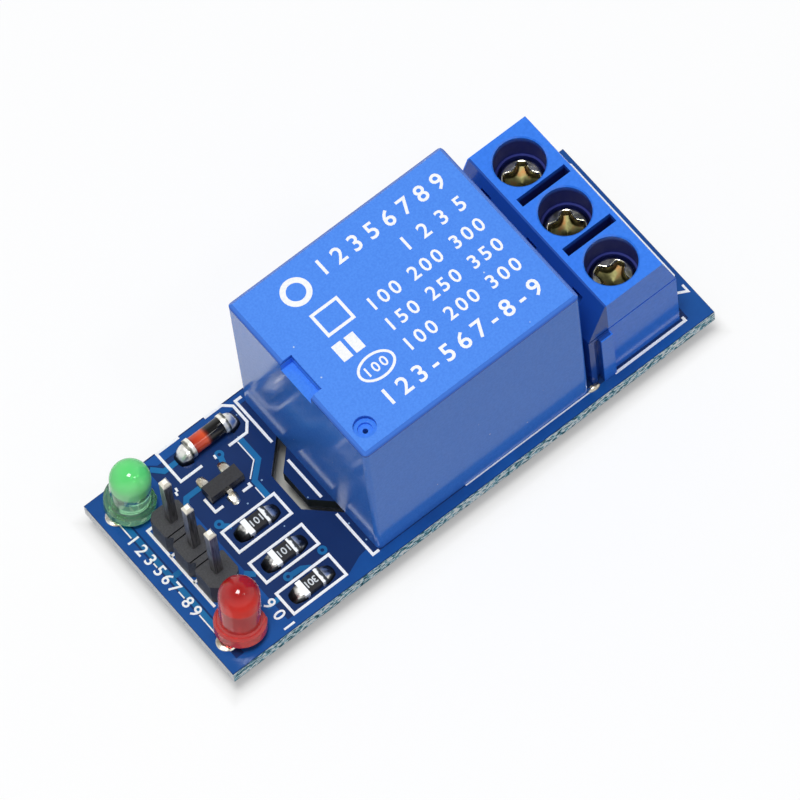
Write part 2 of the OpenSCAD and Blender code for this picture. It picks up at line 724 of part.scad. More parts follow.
module header_housing() color("#2c2c2f")
    translate(header_at)
        difference() {
            for (pin = [1:3]) translate([0, header_y(pin), 0]) header_cell();
            for (pin = [1:3])
                block([header_pin_w, header_pin_w, housing_h + 2], [0, header_y(pin), -1]);
            // Breaking lines between the cells
            for (gap = [1, 2], s = [-1, 1])
                block([housing_w, 0.1, 0.35], [0, header_y(gap) - header_pitch / 2 + s * 0.28, housing_h - 0.3]);
        }

// A square pin with a bevelled tip, made of two crossed side views
module header_pin(pin) color("#d8d2b0")
    translate(header_at + [0, header_y(pin), 0]) {
        w = header_pin_w / 2;
        t = w - tip_bevel * 0.6;
        top = housing_h + header_pin_up;
        side_view = [[-w, -pin_drop], [w, -pin_drop], [w, top - tip_bevel], [t, top], [-t, top],
            [-w, top - tip_bevel]];
        intersection() {
            drawn_across(header_pin_w) polygon(side_view);
            rotate(90) drawn_across(header_pin_w) polygon(side_view);
        }
    }

// ---------------------------------------------------------------- indicator lamps

// The upper part of a leg, which leans with the lamp, steps inwards and ends in its head
module leg_head(side, lean) {
    rotate(lean) translate([0, 0, lamp_seat]) {
        block([leg_w, leg_w, lamp_flange_t - 0.25 - leg_reach / 3],
              [side * leg_pitch / 2, 0, leg_reach / 3]);
        block([leg_w, leg_w, head_h_in_lens - 0.4], [side * (leg_pitch / 2 - leg_step), 0, 0.4]);
        // The broad cup carries the chip, and the narrow post carries its bond wire
        if (side > 0)
            translate([0.1, -0.5, head_h_in_lens - 0.1])
                cube([leg_pitch / 2 - leg_step + 0.1, 1, 0.9]);
        else
            translate([-leg_pitch / 2 + leg_step - 0.1, -0.3, head_h_in_lens - 0.1])
                cube([0.6, 0.6, 0.7]);
    }
}

// One leg: straight through the board into the leaning lens, then its leaning head
module lamp_leg(side, lean) {
    under_lens = lamp_seat - side * leg_pitch / 2 * sin(lean[1]);
    block([leg_w, leg_w, pin_drop + under_lens + leg_reach], [side * leg_pitch / 2, 0, -pin_drop]);
    leg_head(side, lean);
}

module lamp_lens(lean) {
    difference() {
        rotate(lean) translate([0, 0, lamp_seat]) {
            difference() {
                rotate_extrude() {
                    square([lamp_flange_r, lamp_flange_t]);
                    square([lamp_r, lamp_h - lamp_r]);
                    intersection() {
                        translate([0, lamp_h - lamp_r]) circle(lamp_r);
                        square([lamp_r, lamp_h + 1]);
                    }
                }
                // The flat that marks the cathode
                translate([lamp_r + 0.1, -lamp_h, -lamp_flange_t])
                    cube([lamp_r, 2 * lamp_h, 2.5 * lamp_flange_t]);
            }
        }
        lamp_leg(-1, lean);
        lamp_leg(1, lean);
    }
}

module red_lamp() color("#e03028") translate(near_lamp_at) lamp_lens(near_lamp_lean);
module red_lamp_anode() color("#c8c8c4") translate(near_lamp_at) lamp_leg(-1, near_lamp_lean);
module red_lamp_cathode() color("#c8c8c4") translate(near_lamp_at) lamp_leg(1, near_lamp_lean);
module green_lamp() color("#58d070") translate(far_lamp_at) lamp_lens(far_lamp_lean);
module green_lamp_anode() color("#c8c8c4") translate(far_lamp_at) lamp_leg(-1, far_lamp_lean);
module green_lamp_cathode() color("#c8c8c4") translate(far_lamp_at) lamp_leg(1, far_lamp_lean);

// ---------------------------------------------------------------- surface parts

module resistor(row) color("#1d1d20")
    translate(resistor_at(row)) block([resistor_l, resistor_w, resistor_t], [0, 0, plating_t]);

// A plated end: a cap that wraps the end of a ceramic body
module resistor_ends() color("#c8c8c4")
    for (row = [1:3], s = [-1, 1])
        translate(resistor_at(row))
            difference() {
                block([plated_end + plating_t, resistor_w + 2 * plating_t, chip_t],
                    [s * (resistor_l / 2 + (plating_t - plated_end) / 2), 0, 0]);
                block([resistor_l, resistor_w, resistor_t], [0, 0, plating_t]);
            }

module transistor_body() color("#262628")
    translate(transistor_at + [0, 0, 0.05]) {
        w = transistor_w / 2;
        draft = 0.09;
        h = transistor_h;
        rotate(90) drawn_across(transistor_l)
            polygon([[-w + draft, 0], [w - draft, 0], [w, h / 2], [w - draft, h], [-w + draft, h], [-w, h / 2]]);
    }

// A gull-wing leg that leaves the body at half height
module gull_leg(x, side) {
    w = transistor_w / 2;
    e = transistor_span / 2;
    z = 0.05 + transistor_h / 2;
    t = lead_t;
    translate([x, 0, 0]) rotate(side > 0 ? 90 : -90) drawn_across(0.42)
        polygon([[w, z - t / 2], [w + 0.12, z - t / 2], [w + 0.2, 0], [e, 0], [e, t], [w + 0.2 + t, t],
            [w + 0.12 + t, z + t / 2], [w, z + t / 2]]);
}

module transistor_legs() color("#c8c8c4")
    translate(transistor_at) {
        gull_leg(-0.95, 1);
        gull_leg(0.95, 1);
        gull_leg(0, -1);
    }

module diode_glass() color("#c0502c")
    translate(diode_at + [0, 0, diode_cap_r]) rotate([0, 90, 0])
        cylinder(r = diode_cap_r - diode_glass_drop, h = diode_l - 2 * diode_cap_l, center = true);

module diode_caps() color("#d8d2c0")
    for (s = [-1, 1])
        translate(diode_at + [s * (diode_l - diode_cap_l) / 2, 0, diode_cap_r]) rotate([0, 90, 0])
            cylinder(r = diode_cap_r, h = diode_cap_l, center = true);

// A solder wedge that climbs the end of a part: width across, height at the part, in direction s
module wedge(w, h, s) {
    drawn_across(w) polygon([[0, 0], [s * solder_l, 0], [s * solder_l, 0.04], [s * solder_l * 0.4, h * 0.4], [0, h]]);
}

module surface_solder() color("#c9c9c4") {
    for (row = [1:3], s = [-1, 1])
        translate(resistor_at(row) + [s * (resistor_l / 2 + plating_t), 0, 0]) wedge(resistor_w, 0.4, s);
    for (s = [-1, 1])
        translate(diode_at + [s * diode_l / 2, 0, 0]) wedge(1.4, 0.7, s);
    translate(transistor_at) {
        for (x = [-0.95, 0.95])
            translate([x, transistor_span / 2, 0]) rotate(90) wedge(0.6, lead_t + 0.03, 1);
        translate([0, -transistor_span / 2, 0]) rotate(90) wedge(0.6, lead_t + 0.03, -1);
    }
}

// ---------------------------------------------------------------- nodes

circuit_board();
solder_joints();
surface_solder();
relay_cover();
relay_base();
coil_bobbin();
coil_winding();
coil_core();
relay_yoke();
coil_pin(-1);  // coil_pin_1
coil_pin(1);  // coil_pin_2
common_strip();
closed_contact_strip();
open_contact_strip();
armature();
contact_spring();
moving_contact();
terminal_housing();
terminal_screw(1);  // terminal_screw_1
terminal_screw(2);  // terminal_screw_2
terminal_screw(3);  // terminal_screw_3
terminal_cage(1);  // terminal_cage_1
terminal_cage(2);  // terminal_cage_2
terminal_cage(3);  // terminal_cage_3
terminal_pin(1);  // terminal_pin_1
terminal_pin(2);  // terminal_pin_2
terminal_pin(3);  // terminal_pin_3
header_housing();
header_pin(1);  // header_pin_1
header_pin(2);  // header_pin_2
header_pin(3);  // header_pin_3
red_lamp();
red_lamp_anode();
red_lamp_cathode();
green_lamp();
green_lamp_anode();
green_lamp_cathode();
resistor(1);  // resistor_1
resistor(2);  // resistor_2
resistor(3);  // resistor_3
resistor_ends();
transistor_body();
transistor_legs();
diode_glass();
diode_caps();
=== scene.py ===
"""The looks of a relay module board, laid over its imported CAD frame, in metres."""

import math

import bmesh
import bpy
from mathutils import Matrix, Quaternion, Vector


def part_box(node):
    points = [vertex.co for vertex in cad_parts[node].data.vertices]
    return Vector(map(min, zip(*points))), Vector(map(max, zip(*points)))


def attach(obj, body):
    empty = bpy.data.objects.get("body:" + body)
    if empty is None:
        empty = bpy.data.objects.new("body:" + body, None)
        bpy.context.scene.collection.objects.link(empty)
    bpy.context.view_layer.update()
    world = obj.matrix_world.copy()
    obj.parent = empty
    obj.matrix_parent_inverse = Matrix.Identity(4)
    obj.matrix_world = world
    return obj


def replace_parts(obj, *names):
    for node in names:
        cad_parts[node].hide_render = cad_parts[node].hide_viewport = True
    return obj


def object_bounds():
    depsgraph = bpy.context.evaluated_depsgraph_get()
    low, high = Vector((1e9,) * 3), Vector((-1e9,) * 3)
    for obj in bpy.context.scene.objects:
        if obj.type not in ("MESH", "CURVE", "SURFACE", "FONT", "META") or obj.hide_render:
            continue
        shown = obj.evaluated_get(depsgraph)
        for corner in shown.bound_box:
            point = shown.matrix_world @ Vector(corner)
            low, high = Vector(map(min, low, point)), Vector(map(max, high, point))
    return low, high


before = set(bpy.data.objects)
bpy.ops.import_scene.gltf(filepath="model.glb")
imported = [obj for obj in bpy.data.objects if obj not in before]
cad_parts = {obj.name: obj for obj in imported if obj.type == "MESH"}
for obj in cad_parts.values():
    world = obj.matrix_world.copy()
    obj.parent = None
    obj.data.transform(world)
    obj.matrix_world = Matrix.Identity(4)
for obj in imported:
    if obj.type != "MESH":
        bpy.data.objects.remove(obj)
cad_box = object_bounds()


# ---------------------------------------------------------------- circuit board
# FR-4 laminate, woven glass in epoxy, 1.2 mm thick, with blue solder mask on both faces.
# The panel was milled and snapped, so its four edges show bare glass fibre with painted glints, and the
# slot's walls are painted dark as shade.

mm = 0.001
band = 0.314  # How wide one band of a wave texture is at a scale of 1, in metres
board_low, board_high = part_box("circuit_board")
deck = board_high.z


def spot(along, across, up=0.0):
    """A place in millimetres from the board's header-end near corner and from its top face."""
    return Vector((board_low.x + along * mm, board_low.y + across * mm, deck + up * mm))


def linear(colour):
    """An sRGB hex colour as linear red, green, blue and alpha."""
    parts = [int(colour[i : i + 2], 16) / 255 for i in (1, 3, 5)]
    return [c / 12.92 if c <= 0.04045 else ((c + 0.055) / 1.055) ** 2.4 for c in parts] + [1.0]


def give(tree, node, inputs):
    """Give a node's inputs their values, or link them to a socket or to a node's first output."""
    for name, value in inputs.items():
        if isinstance(value, bpy.types.Node):
            value = value.outputs[0]
        if isinstance(value, bpy.types.NodeSocket):
            tree.links.new(value, node.inputs[name])
        else:
            node.inputs[name].default_value = value


def add(tree, kind, inputs=None, stops=(), **settings):
    """Add a node with its inputs, its settings and, by position and colour, the stops of a ramp."""
    node = tree.nodes.new("ShaderNode" + kind)
    for name, value in settings.items():
        setattr(node, name, value)
    while stops and len(node.color_ramp.elements) < len(stops):
        node.color_ramp.elements.new(0.5)
    for i, (position, colour) in enumerate(stops):
        node.color_ramp.elements[i].position = position
        node.color_ramp.elements[i].color = linear(colour)
    give(tree, node, inputs or {})
    return node


def finish(name, **values):
    """A new material with one principled shader, whose plain sockets are set here by name."""
    material = bpy.data.materials.new(name)
    material.use_nodes = True
    tree = material.node_tree
    shader = tree.nodes["Principled BSDF"]
    give(tree, shader, {socket.replace("_", " "): value for socket, value in values.items()})
    where = add(tree, "TexCoord").outputs["Object"]
    return material, tree, shader, where


def dress(node, material):
    """Give a CAD node's object one material in every slot."""
    for mesh_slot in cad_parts[node].material_slots:
        mesh_slot.material = material


def dust(tree, where, pitch, size, share):
    """One on small round specks, so much of the pitch in radius, that a share of the cells have."""
    cells = add(tree, "TexVoronoi", {"Vector": where, "Scale": 1 / pitch})
    dot = add(tree, "Math", {0: cells.outputs["Distance"], 1: size}, operation="LESS_THAN")
    some = add(tree, "SeparateXYZ", {"Vector": cells.outputs["Color"]})
    few = add(tree, "Math", {0: some.outputs["X"], 1: 1 - share}, operation="GREATER_THAN")
    return add(tree, "Math", {0: dot, 1: few}, operation="MULTIPLY")


def past_board(tree, split):
    """How far a place lies outside the board's outline, and less than nought within it."""
    past = []
    for axis, half in (("X", board_high.x), ("Y", board_high.y)):
        size = add(tree, "Math", {0: split[axis]}, operation="ABSOLUTE")
        past.append(add(tree, "Math", {0: size, 1: half}, operation="SUBTRACT"))
    return add(tree, "Math", {0: past[0], 1: past[1]}, operation="MAXIMUM")


def solder_mask():
    """Blue solder mask on woven laminate: glossy, a faint weave, pale fibres with painted glints where it
    was cut, and painted shade in the slot.
    """
    weave, streak = 0.45 * mm, 0.3 * mm
    skin, slot_inset = 0.03 * mm, 0.5 * mm
    material, tree, shader, where = finish("masked_glass_laminate", IOR=1.52, Specular_IOR_Level=0.3)
    split = add(tree, "SeparateXYZ", {"Vector": where}).outputs
    cloud = add(tree, "TexNoise", {"Vector": where, "Scale": 0.12 / mm, "Detail": 3.0})
    bare = add(tree, "ValToRGB", {"Fac": cloud.outputs["Fac"]}, [(0.3, "#152d5e"), (0.7, "#1c3a70")])
    speck = dust(tree, where, pitch=0.9 * mm, size=0.08, share=0.25)
    mask = add(tree, "MixRGB", {"Fac": speck, "Color1": bare, "Color2": linear("#8fb0d0")})
    stretch = add(tree, "Mapping", {"Vector": where, "Scale": (0.75, 0.75, 1.8)})
    strands = {"Vector": stretch, "Scale": 1 / streak, "Detail": 3.0, "Roughness": 0.55}
    fibre = add(tree, "TexNoise", strands).outputs["Fac"]
    # Painted highlight: the cut fibres carry white glints, and the snapped header end is painted whiter for
    # the glare on it
    sawn_fibre_with_glints = add(tree, "ValToRGB", {"Fac": fibre}, [(0.4, "#17505e"), (0.48, "#78c2d8"), (0.56, "#fbffff")])
    snapped_fibre_with_glare = add(tree, "ValToRGB", {"Fac": fibre}, [(0.3, "#8aa6b2"), (0.38, "#f2f8fa"), (0.5, "#ffffff")])
    ends = add(tree, "Math", {0: split["X"], 1: board_low.x + skin}, operation="LESS_THAN")
    outer = add(tree, "MixRGB", {"Fac": ends, "Color1": sawn_fibre_with_glints, "Color2": snapped_fibre_with_glare})
    # Painted shade: the slot's walls are coloured dark, for the shade inside it
    past = past_board(tree, split)
    slot_walls_shaded = add(tree, "Math", {0: past, 1: -slot_inset}, operation="LESS_THAN")
    cut = add(tree, "MixRGB", {"Fac": slot_walls_shaded, "Color1": outer, "Color2": linear("#1f2c30")})
    middle = (board_low.z + board_high.z) / 2
    core = (board_high.z - board_low.z) / 2 - skin
    off = add(tree, "Math", {0: split["Z"], 1: middle}, operation="SUBTRACT")
    far = add(tree, "Math", {0: off}, operation="ABSOLUTE")
    face = add(tree, "Math", {0: far, 1: core}, operation="GREATER_THAN")
    colour = add(tree, "MixRGB", {"Fac": face, "Color1": cut, "Color2": mask})
    rough = add(tree, "MapRange", {"Value": face, "To Min": 0.75, "To Max": 0.15})
    threads = []
    for run in ("X", "Y"):
        wave = {"Vector": where, "Scale": band / weave, "Distortion": 0.4}
        threads.append(add(tree, "TexWave", wave, bands_direction=run).outputs["Fac"])
    cloth = add(tree, "Math", {0: threads[0], 1: threads[1]}, operation="MULTIPLY")
    bump = add(tree, "Bump", {"Height": cloth, "Strength": 0.12, "Distance": 0.02 * mm})
    give(tree, shader, {"Base Color": colour, "Roughness": rough, "Normal": bump})
    return material


dress("circuit_board", solder_mask())


# ---------------------------------------------------------------- copper under the mask
# Etched copper foil, 35 microns thick, that the same blue mask covers: tracks, ground areas and
# via rings. It stands a hair above the laminate and looks a brighter blue than the bare parts.

foil = 0.035
track_t = foil + 0.006
via_t = foil + 0.012
track_w, switched_w, coil_w = 0.42, 2.4, 0.6


def lay_strip(bm, points, width, thick, up=0.0, closed=False):
    """Draw a flat strip along points on the board, with mitred corners, by extruding its end edge."""
    sharpest = 0.3
    line = [Vector(p) for p in points]
    faces = []
    edge = []
    for i, point in enumerate(line):
        before = line[i - 1] if i or closed else None
        after = line[(i + 1) % len(line)] if i < len(line) - 1 or closed else None
        into = (point - before).normalized() if before is not None else (after - point).normalized()
        out = (after - point).normalized() if after is not None else into
        side = Vector((-into.y - out.y, into.x + out.x)).normalized()
        reach = width / 2 / max(side.dot(Vector((-out.y, out.x))), sharpest)
        ends = [point + side * reach, point - side * reach]
        if not edge:
            edge = first = [bm.verts.new(spot(e.x, e.y, up)) for e in ends]
            bm.edges.new(edge)
            continue
        grown = bmesh.ops.extrude_edge_only(bm, edges=[bm.edges.get(edge)])["geom"]
        new = [g for g in grown if isinstance(g, bmesh.types.BMVert)]
        near = {v: min(edge, key=lambda o, v=v: (o.co - v.co).length) for v in new}
        edge = sorted(new, key=lambda v: edge.index(near[v]))
        for vert, end in zip(edge, ends):
            vert.co = spot(end.x, end.y, up)
        faces += [g for g in grown if isinstance(g, bmesh.types.BMFace)]
    if closed:
        faces.append(bm.faces.new([edge[0], edge[1], first[1], first[0]]))
    lift(bm, faces, thick)


def lift(bm, faces, thick):
    """Give flat faces their thickness: a copy of them goes up, with walls between."""
    grown = bmesh.ops.extrude_face_region(bm, geom=faces, use_keep_orig=True)["geom"]
    top = [g for g in grown if isinstance(g, bmesh.types.BMVert)]
    bmesh.ops.translate(bm, verts=top, vec=(0, 0, thick * mm))


def oblong(left, near, right, far):
    """The four corners of a rectangle on the board."""
    return [(left, near), (right, near), (right, far), (left, far)]


def lay_plate(bm, corners, thick, up=0.0):
    """A flat plate by its corners on the board."""
    lift(bm, [bm.faces.new([bm.verts.new(spot(x, y, up)) for x, y in corners])], thick)


def lay_ring(bm, along, across, outer, inner, thick, up=0.0, sides=24):
    """A flat ring round a place on the board."""
    at = Matrix.Translation(spot(along, across, up))
    loops = []
    for radius in (outer, inner):
        made = bmesh.ops.create_circle(bm, segments=sides, radius=radius * mm, matrix=at)["verts"]
        loops += list({e for v in made for e in v.link_edges})
    lift(bm, bmesh.ops.bridge_loops(bm, edges=loops)["faces"], thick)


def place(bm, name, material, body="module", smooth=False):
    """Close a mesh, make it one piece of the object, and let it ride on its body."""
    bmesh.ops.recalc_face_normals(bm, faces=bm.faces[:])
    mesh = bpy.data.meshes.new(name)
    bm.to_mesh(mesh)
    bm.free()
    mesh.polygons.foreach_set("use_smooth", [smooth] * len(mesh.polygons))
    piece = bpy.data.objects.new(name, mesh)
    bpy.context.scene.collection.objects.link(piece)
    mesh.materials.append(material)
    if smooth:
        mesh.set_sharp_from_angle(angle=math.radians(35))
    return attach(piece, body)


def masked_copper(name, light, dark):
    """Copper under blue mask: smooth, brighter than the mask over bare laminate, softly clouded."""
    material, tree, shader, where = finish(name, IOR=1.52, Roughness=0.17, Specular_IOR_Level=0.3)
    cloud = add(tree, "TexNoise", {"Vector": where, "Scale": 0.25 / mm, "Detail": 3.0})
    colour = add(tree, "ValToRGB", {"Fac": cloud.outputs["Fac"]}, [(0.3, dark), (0.7, light)])
    give(tree, shader, {"Base Color": colour})
    return material


# The ground areas stop a hair short of the cut edges and leave a gap round the header's track
edge_in = 0.03
far_end, far_side = 43.37, 16.96
margin, gap_start, gap_end = 0.82, 0.95, 1.65
areas = (
    oblong(edge_in, edge_in, gap_start, far_side),
    oblong(gap_end, margin, 5.55, 12.0),
    [(gap_end, 12.0), (5.1, 12.0), (5.1, 16.0), (4.3, far_side), (gap_end, far_side)],
    oblong(gap_start, edge_in, far_end, margin),
    [(5.0, 16.88), (5.9, 16.1), (far_end, 16.1), (far_end, far_side)],
    oblong(41.7, margin, far_end, 16.1),
    [(11.0, margin), (13.1, margin), (13.1, 1.5), (12.4, 1.4)],
    oblong(gap_start, 15.0, gap_end, far_side),
)
ground = bmesh.new()
for area in areas:
    lay_plate(ground, area, foil)
place(ground, "ground_copper", masked_copper("masked_copper_ground", "#1d5aa6", "#184a90"))

copper = bmesh.new()
tracks = (
    [(1.3, 14.2), (1.3, 3.0)],
    [(1.53, 8.6), (2.2, 8.6)],
    [(5.3, 16.2), (6.0, 15.45), (7.1, 15.45)],
    [(5.5, 12.3), (5.9, 12.8), (7.1, 12.8)],
    [(11.65, 14.0), (11.65, 11.9), (10.4, 10.75), (10.4, 9.2)],
    [(6.45, 9.5), (7.0, 9.0)],
    [(7.9, 3.35), (8.7, 3.3), (9.3, 2.9)],
    [(5.4, 5.6), (6.0, 5.0)],
    [(5.0, 2.5), (6.1, 2.5)],
    [(9.75, 13.8), (9.55, 13.2)],
)
for track in tracks:
    lay_strip(copper, track, track_w, track_t)
for via in ((6.4, 9.7), (9.75, 13.95), (7.6, 3.4), (10.7, 3.45)):
    lay_ring(copper, *via, outer=0.36, inner=0.14, thick=via_t)
# Underneath, wide tracks join the relay's contacts to the terminal, and two thin ones feed the coil
under_tracks = (
    (switched_w, [(29.85, 2.7), (33.6, 3.7), (34.3, 3.7)]),
    (switched_w, [(29.85, 14.5), (33.6, 13.8), (34.3, 13.8)]),
    (switched_w, [(15.65, 8.6), (24.0, 8.8), (34.3, 8.8)]),
    (coil_w, [(17.7, 2.6), (12.6, 2.6), (9.0, 4.5), (9.0, 7.0)]),
    (coil_w, [(17.7, 14.5), (13.5, 14.9), (4.2, 15.1)]),
)
under = (board_low.z - board_high.z) / mm - foil
for width, track in under_tracks:
    lay_strip(copper, track, width, foil, under)
place(copper, "copper_tracks", masked_copper("masked_copper_track", "#2279b4", "#1a629a"))


# ---------------------------------------------------------------- solder
# Tin-lead solder: cones round the pins under the board, low caps on the lamps' top pads, and
# fillets at the small parts. Melted and set, it is bright; the chip fillets have painted highlights and
# painted dark reflections.


def set_solder():
    """Bright frozen metal with duller patches and a soft dimpled skin."""
    material, tree, shader, where = finish("set_bright_solder", Metallic=1.0)
    patch = add(tree, "TexNoise", {"Vector": where, "Scale": 1.6 / mm, "Detail": 3.0}).outputs["Fac"]
    colour = add(tree, "ValToRGB", {"Fac": patch}, [(0.35, "#b9ad96"), (0.6, "#f4f1e6")])
    rough = add(tree, "MapRange", {"Value": patch, "To Min": 0.42, "To Max": 0.14})
    bump = add(tree, "Bump", {"Height": patch, "Strength": 0.25, "Distance": 0.05 * mm})
    give(tree, shader, {"Base Color": colour, "Roughness": rough, "Normal": bump})
    return material


bright_solder = set_solder()
dress("solder_joints", bright_solder)


# ---------------------------------------------------------------- white ink on the board
# Epoxy ink, screen printed after the mask and baked: outlines of the parts and plain numbers.
# It lies on the board as a matt white line about 0.2 mm wide, a little ragged at its edges.

ink_t = 0.06
ink_w, hair_w, faint_w = 0.21, 0.1, 0.09


def stamp(bm, words, height, corner, width, turn=0.0, thick=ink_t):
    """Set plain figures in mesh from their lower left corner; letter spacing gives the width."""
    bold, merge = 0.014, 0.001 * mm
    curve = bpy.data.curves.new("figures", "FONT")
    curve.body = words
    curve.resolution_u = 3
    curve.offset = bold
    setter = bpy.data.objects.new("figures", curve)
    bpy.context.scene.collection.objects.link(setter)
    shares = []
    for spacing in (1.0, 2.0):
        curve.space_character = spacing
        bpy.context.view_layer.update()
        shares.append(setter.dimensions.x / setter.dimensions.y)
    if len(words) > 1:
        curve.space_character = 1 + (width / height - shares[0]) / (shares[1] - shares[0])
        bpy.context.view_layer.update()
    mesh = bpy.data.meshes.new_from_object(setter)
    low = Vector([min(v.co[k] for v in mesh.vertices) for k in range(3)])
    high = Vector([max(v.co[k] for v in mesh.vertices) for k in range(3)])
    fit = (width * mm / (high.x - low.x), height * mm / (high.y - low.y), 1, 1)
    mesh.transform(Matrix.Translation(-low))
    mesh.transform(Matrix.Diagonal(fit))
    mesh.transform(Matrix.Translation(corner) @ Matrix.Rotation(turn, 4, "Z"))
    before = set(bm.faces)
    bm.from_mesh(mesh)
    fresh = [f for f in bm.faces if f not in before]
    bmesh.ops.remove_doubles(bm, verts=list({v for f in fresh for v in f.verts}), dist=merge)
    lift(bm, [f for f in bm.faces if f not in before], thick)
    bpy.data.objects.remove(setter)
    bpy.data.curves.remove(curve)
    bpy.data.meshes.remove(mesh)


def white_ink(name, tone, shade, grit):
    """Baked white ink: matt, slightly uneven in tone, with the grit of its pigment."""
    material, tree, shader, where = finish(name, Roughness=0.55, IOR=1.5)
    speck = add(tree, "TexNoise", {"Vector": where, "Scale": 1 / grit, "Detail": 2.0}).outputs["Fac"]
    colour = add(tree, "ValToRGB", {"Fac": speck}, [(0.3, shade), (0.55, tone)])
    bump = add(tree, "Bump", {"Height": speck, "Strength": 0.2, "Distance": 0.02 * mm})
    give(tree, shader, {"Base Color": colour, "Normal": bump})
    return material


ink = bmesh.new()
relay_end = 13.2
outlines = (
    [(13.75, 16.5), (relay_end, 16.5), (relay_end, 12.3)],
    [(relay_end, 10.5), (relay_end, 6.7)],
    [(relay_end, 5.0), (relay_end, 0.88), (13.75, 0.88)],
    [(35.0, 0.8), (41.4, 0.8), (41.4, 1.15)],
    [(41.95, 3.0), (43.0, 4.1), (43.0, 15.6), (42.6, 16.3), (41.4, 16.4)],
    # Diode, with its two open brackets
    [(8.4, 16.87), (6.4, 16.87), (6.4, 14.05), (8.3, 14.05)],
    [(10.7, 16.87), (12.25, 16.87), (12.85, 16.3), (12.85, 14.7), (12.3, 14.05), (10.7, 14.05)],
    # Transistor
    [(6.8, 11.9), (6.8, 10.62), (7.5, 10.62)],
    [(9.25, 10.62), (9.95, 10.62), (9.95, 10.9)],
    # Header, with a tick at each pin
    [(2.8, 12.55), (2.25, 12.55), (2.25, 4.9)],
    [(2.25, 9.93), (2.75, 9.93)],
    [(2.25, 7.3), (2.75, 7.3)],
)
for outline in outlines:
    lay_strip(ink, outline, ink_w, ink_t)
lay_strip(ink, [(21.5, 0.83), (33.0, 0.81)], hair_w, ink_t)
for faint in ([(11.36, 13.9), (11.36, 12.05), (10.25, 11.05)], [(10.12, 10.3), (10.12, 9.25)]):
    lay_strip(ink, faint, faint_w, ink_t)
# Resistors
for low, high in ((7.08, 9.08), (4.0, 5.95), (0.88, 2.9)):
    lay_strip(ink, oblong(6.15, low, 10.82, high), ink_w, ink_t, closed=True)
tick = 0.16
for x, y in ((9.4, 14.0), (5.55, 13.5), (5.75, 13.75)):
    lay_strip(ink, [(x, y - tick), (x + 0.04, y + tick)], tick, ink_t)
# The pins' figures, with the dashes between them
quarter = math.radians(-90)
figure_h = 0.95
for words, length, top in (("123", 2.3, 12.7), ("567", 2.3, 9.85), ("89", 1.5, 6.7)):
    stamp(ink, words, figure_h, spot(0.55, top), length, turn=quarter)
for bottom, top in ((10.3, 9.9), (7.45, 6.8), (5.1, 3.3), (14.1, 12.85)):
    lay_strip(ink, [(1.02, bottom), (1.02, top)], hair_w, ink_t)
stamp(ink, "901", figure_h, spot(4.85, 2.9), 2.6, turn=quarter)
stamp(ink, "7", 1.0, spot(42.1, 3.1), 0.8, turn=quarter)
place(ink, "board_ink", white_ink("screened_white_epoxy_ink", "#ffffff", "#eef3f6", grit=0.12 * mm))


# ---------------------------------------------------------------- relay case
# A glass-filled polyester case, injection moulded in blue. The mould is polished on the sides and
# spark eroded on top, so the sides shine and the top is matt, with white pad-printed figures.

case_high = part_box("relay_cover")[1]


def moulded_case():
    """Moulded blue polyester: a matt grained top, a polished rim painted darker as a dark reflection, and
    shiny, wavy sides.
    """
    grain, rim_h, skin = 0.16 * mm, 0.4 * mm, 0.01 * mm
    material, tree, shader, where = finish("moulded_blue_polyester", IOR=1.5, Specular_IOR_Level=0.4)
    height = add(tree, "SeparateXYZ", {"Vector": where}).outputs["Z"]
    top = add(tree, "Math", {0: height, 1: case_high.z - skin}, operation="GREATER_THAN")
    fine = add(tree, "TexNoise", {"Vector": where, "Scale": 1 / grain, "Detail": 3.0}).outputs["Fac"]
    plain = add(tree, "ValToRGB", {"Fac": fine}, [(0.35, "#4186f0"), (0.65, "#4a90f8")])
    foot = case_high.z - rim_h
    above = add(tree, "Math", {0: height, 1: foot}, operation="GREATER_THAN")
    rim = add(tree, "Math", {0: above, 1: top}, operation="SUBTRACT")
    # Painted reflection: the polished rim is coloured darker toward its foot, for the dark it would reflect
    climb = add(tree, "MapRange", {"Value": height, "From Min": foot, "From Max": case_high.z})
    rim_shade = add(tree, "ValToRGB", {"Fac": climb}, [(0.1, "#1a4cb0"), (0.45, "#2a68d0"), (0.6, "#3a7ce6")])
    with_rim_shade = add(tree, "MixRGB", {"Fac": rim, "Color1": plain, "Color2": rim_shade})
    speck = dust(tree, where, pitch=0.8 * mm, size=0.08, share=0.08)
    dusty = {"Fac": speck, "Color1": with_rim_shade, "Color2": linear("#b9d2f6")}
    colour = add(tree, "MixRGB", dusty)
    rough = add(tree, "MapRange", {"Value": top, "To Min": 0.15, "To Max": 0.5})
    wave = add(tree, "TexNoise", {"Vector": where, "Scale": 0.15 / mm, "Detail": 1.0}).outputs["Fac"]
    relief = add(tree, "MixRGB", {"Fac": top, "Color1": wave, "Color2": fine})
    bump = add(tree, "Bump", {"Height": relief, "Strength": 0.3, "Distance": 0.03 * mm})
    give(tree, shader, {"Base Color": colour, "Roughness": rough, "Normal": bump})
    return material


dress("relay_cover", moulded_case())

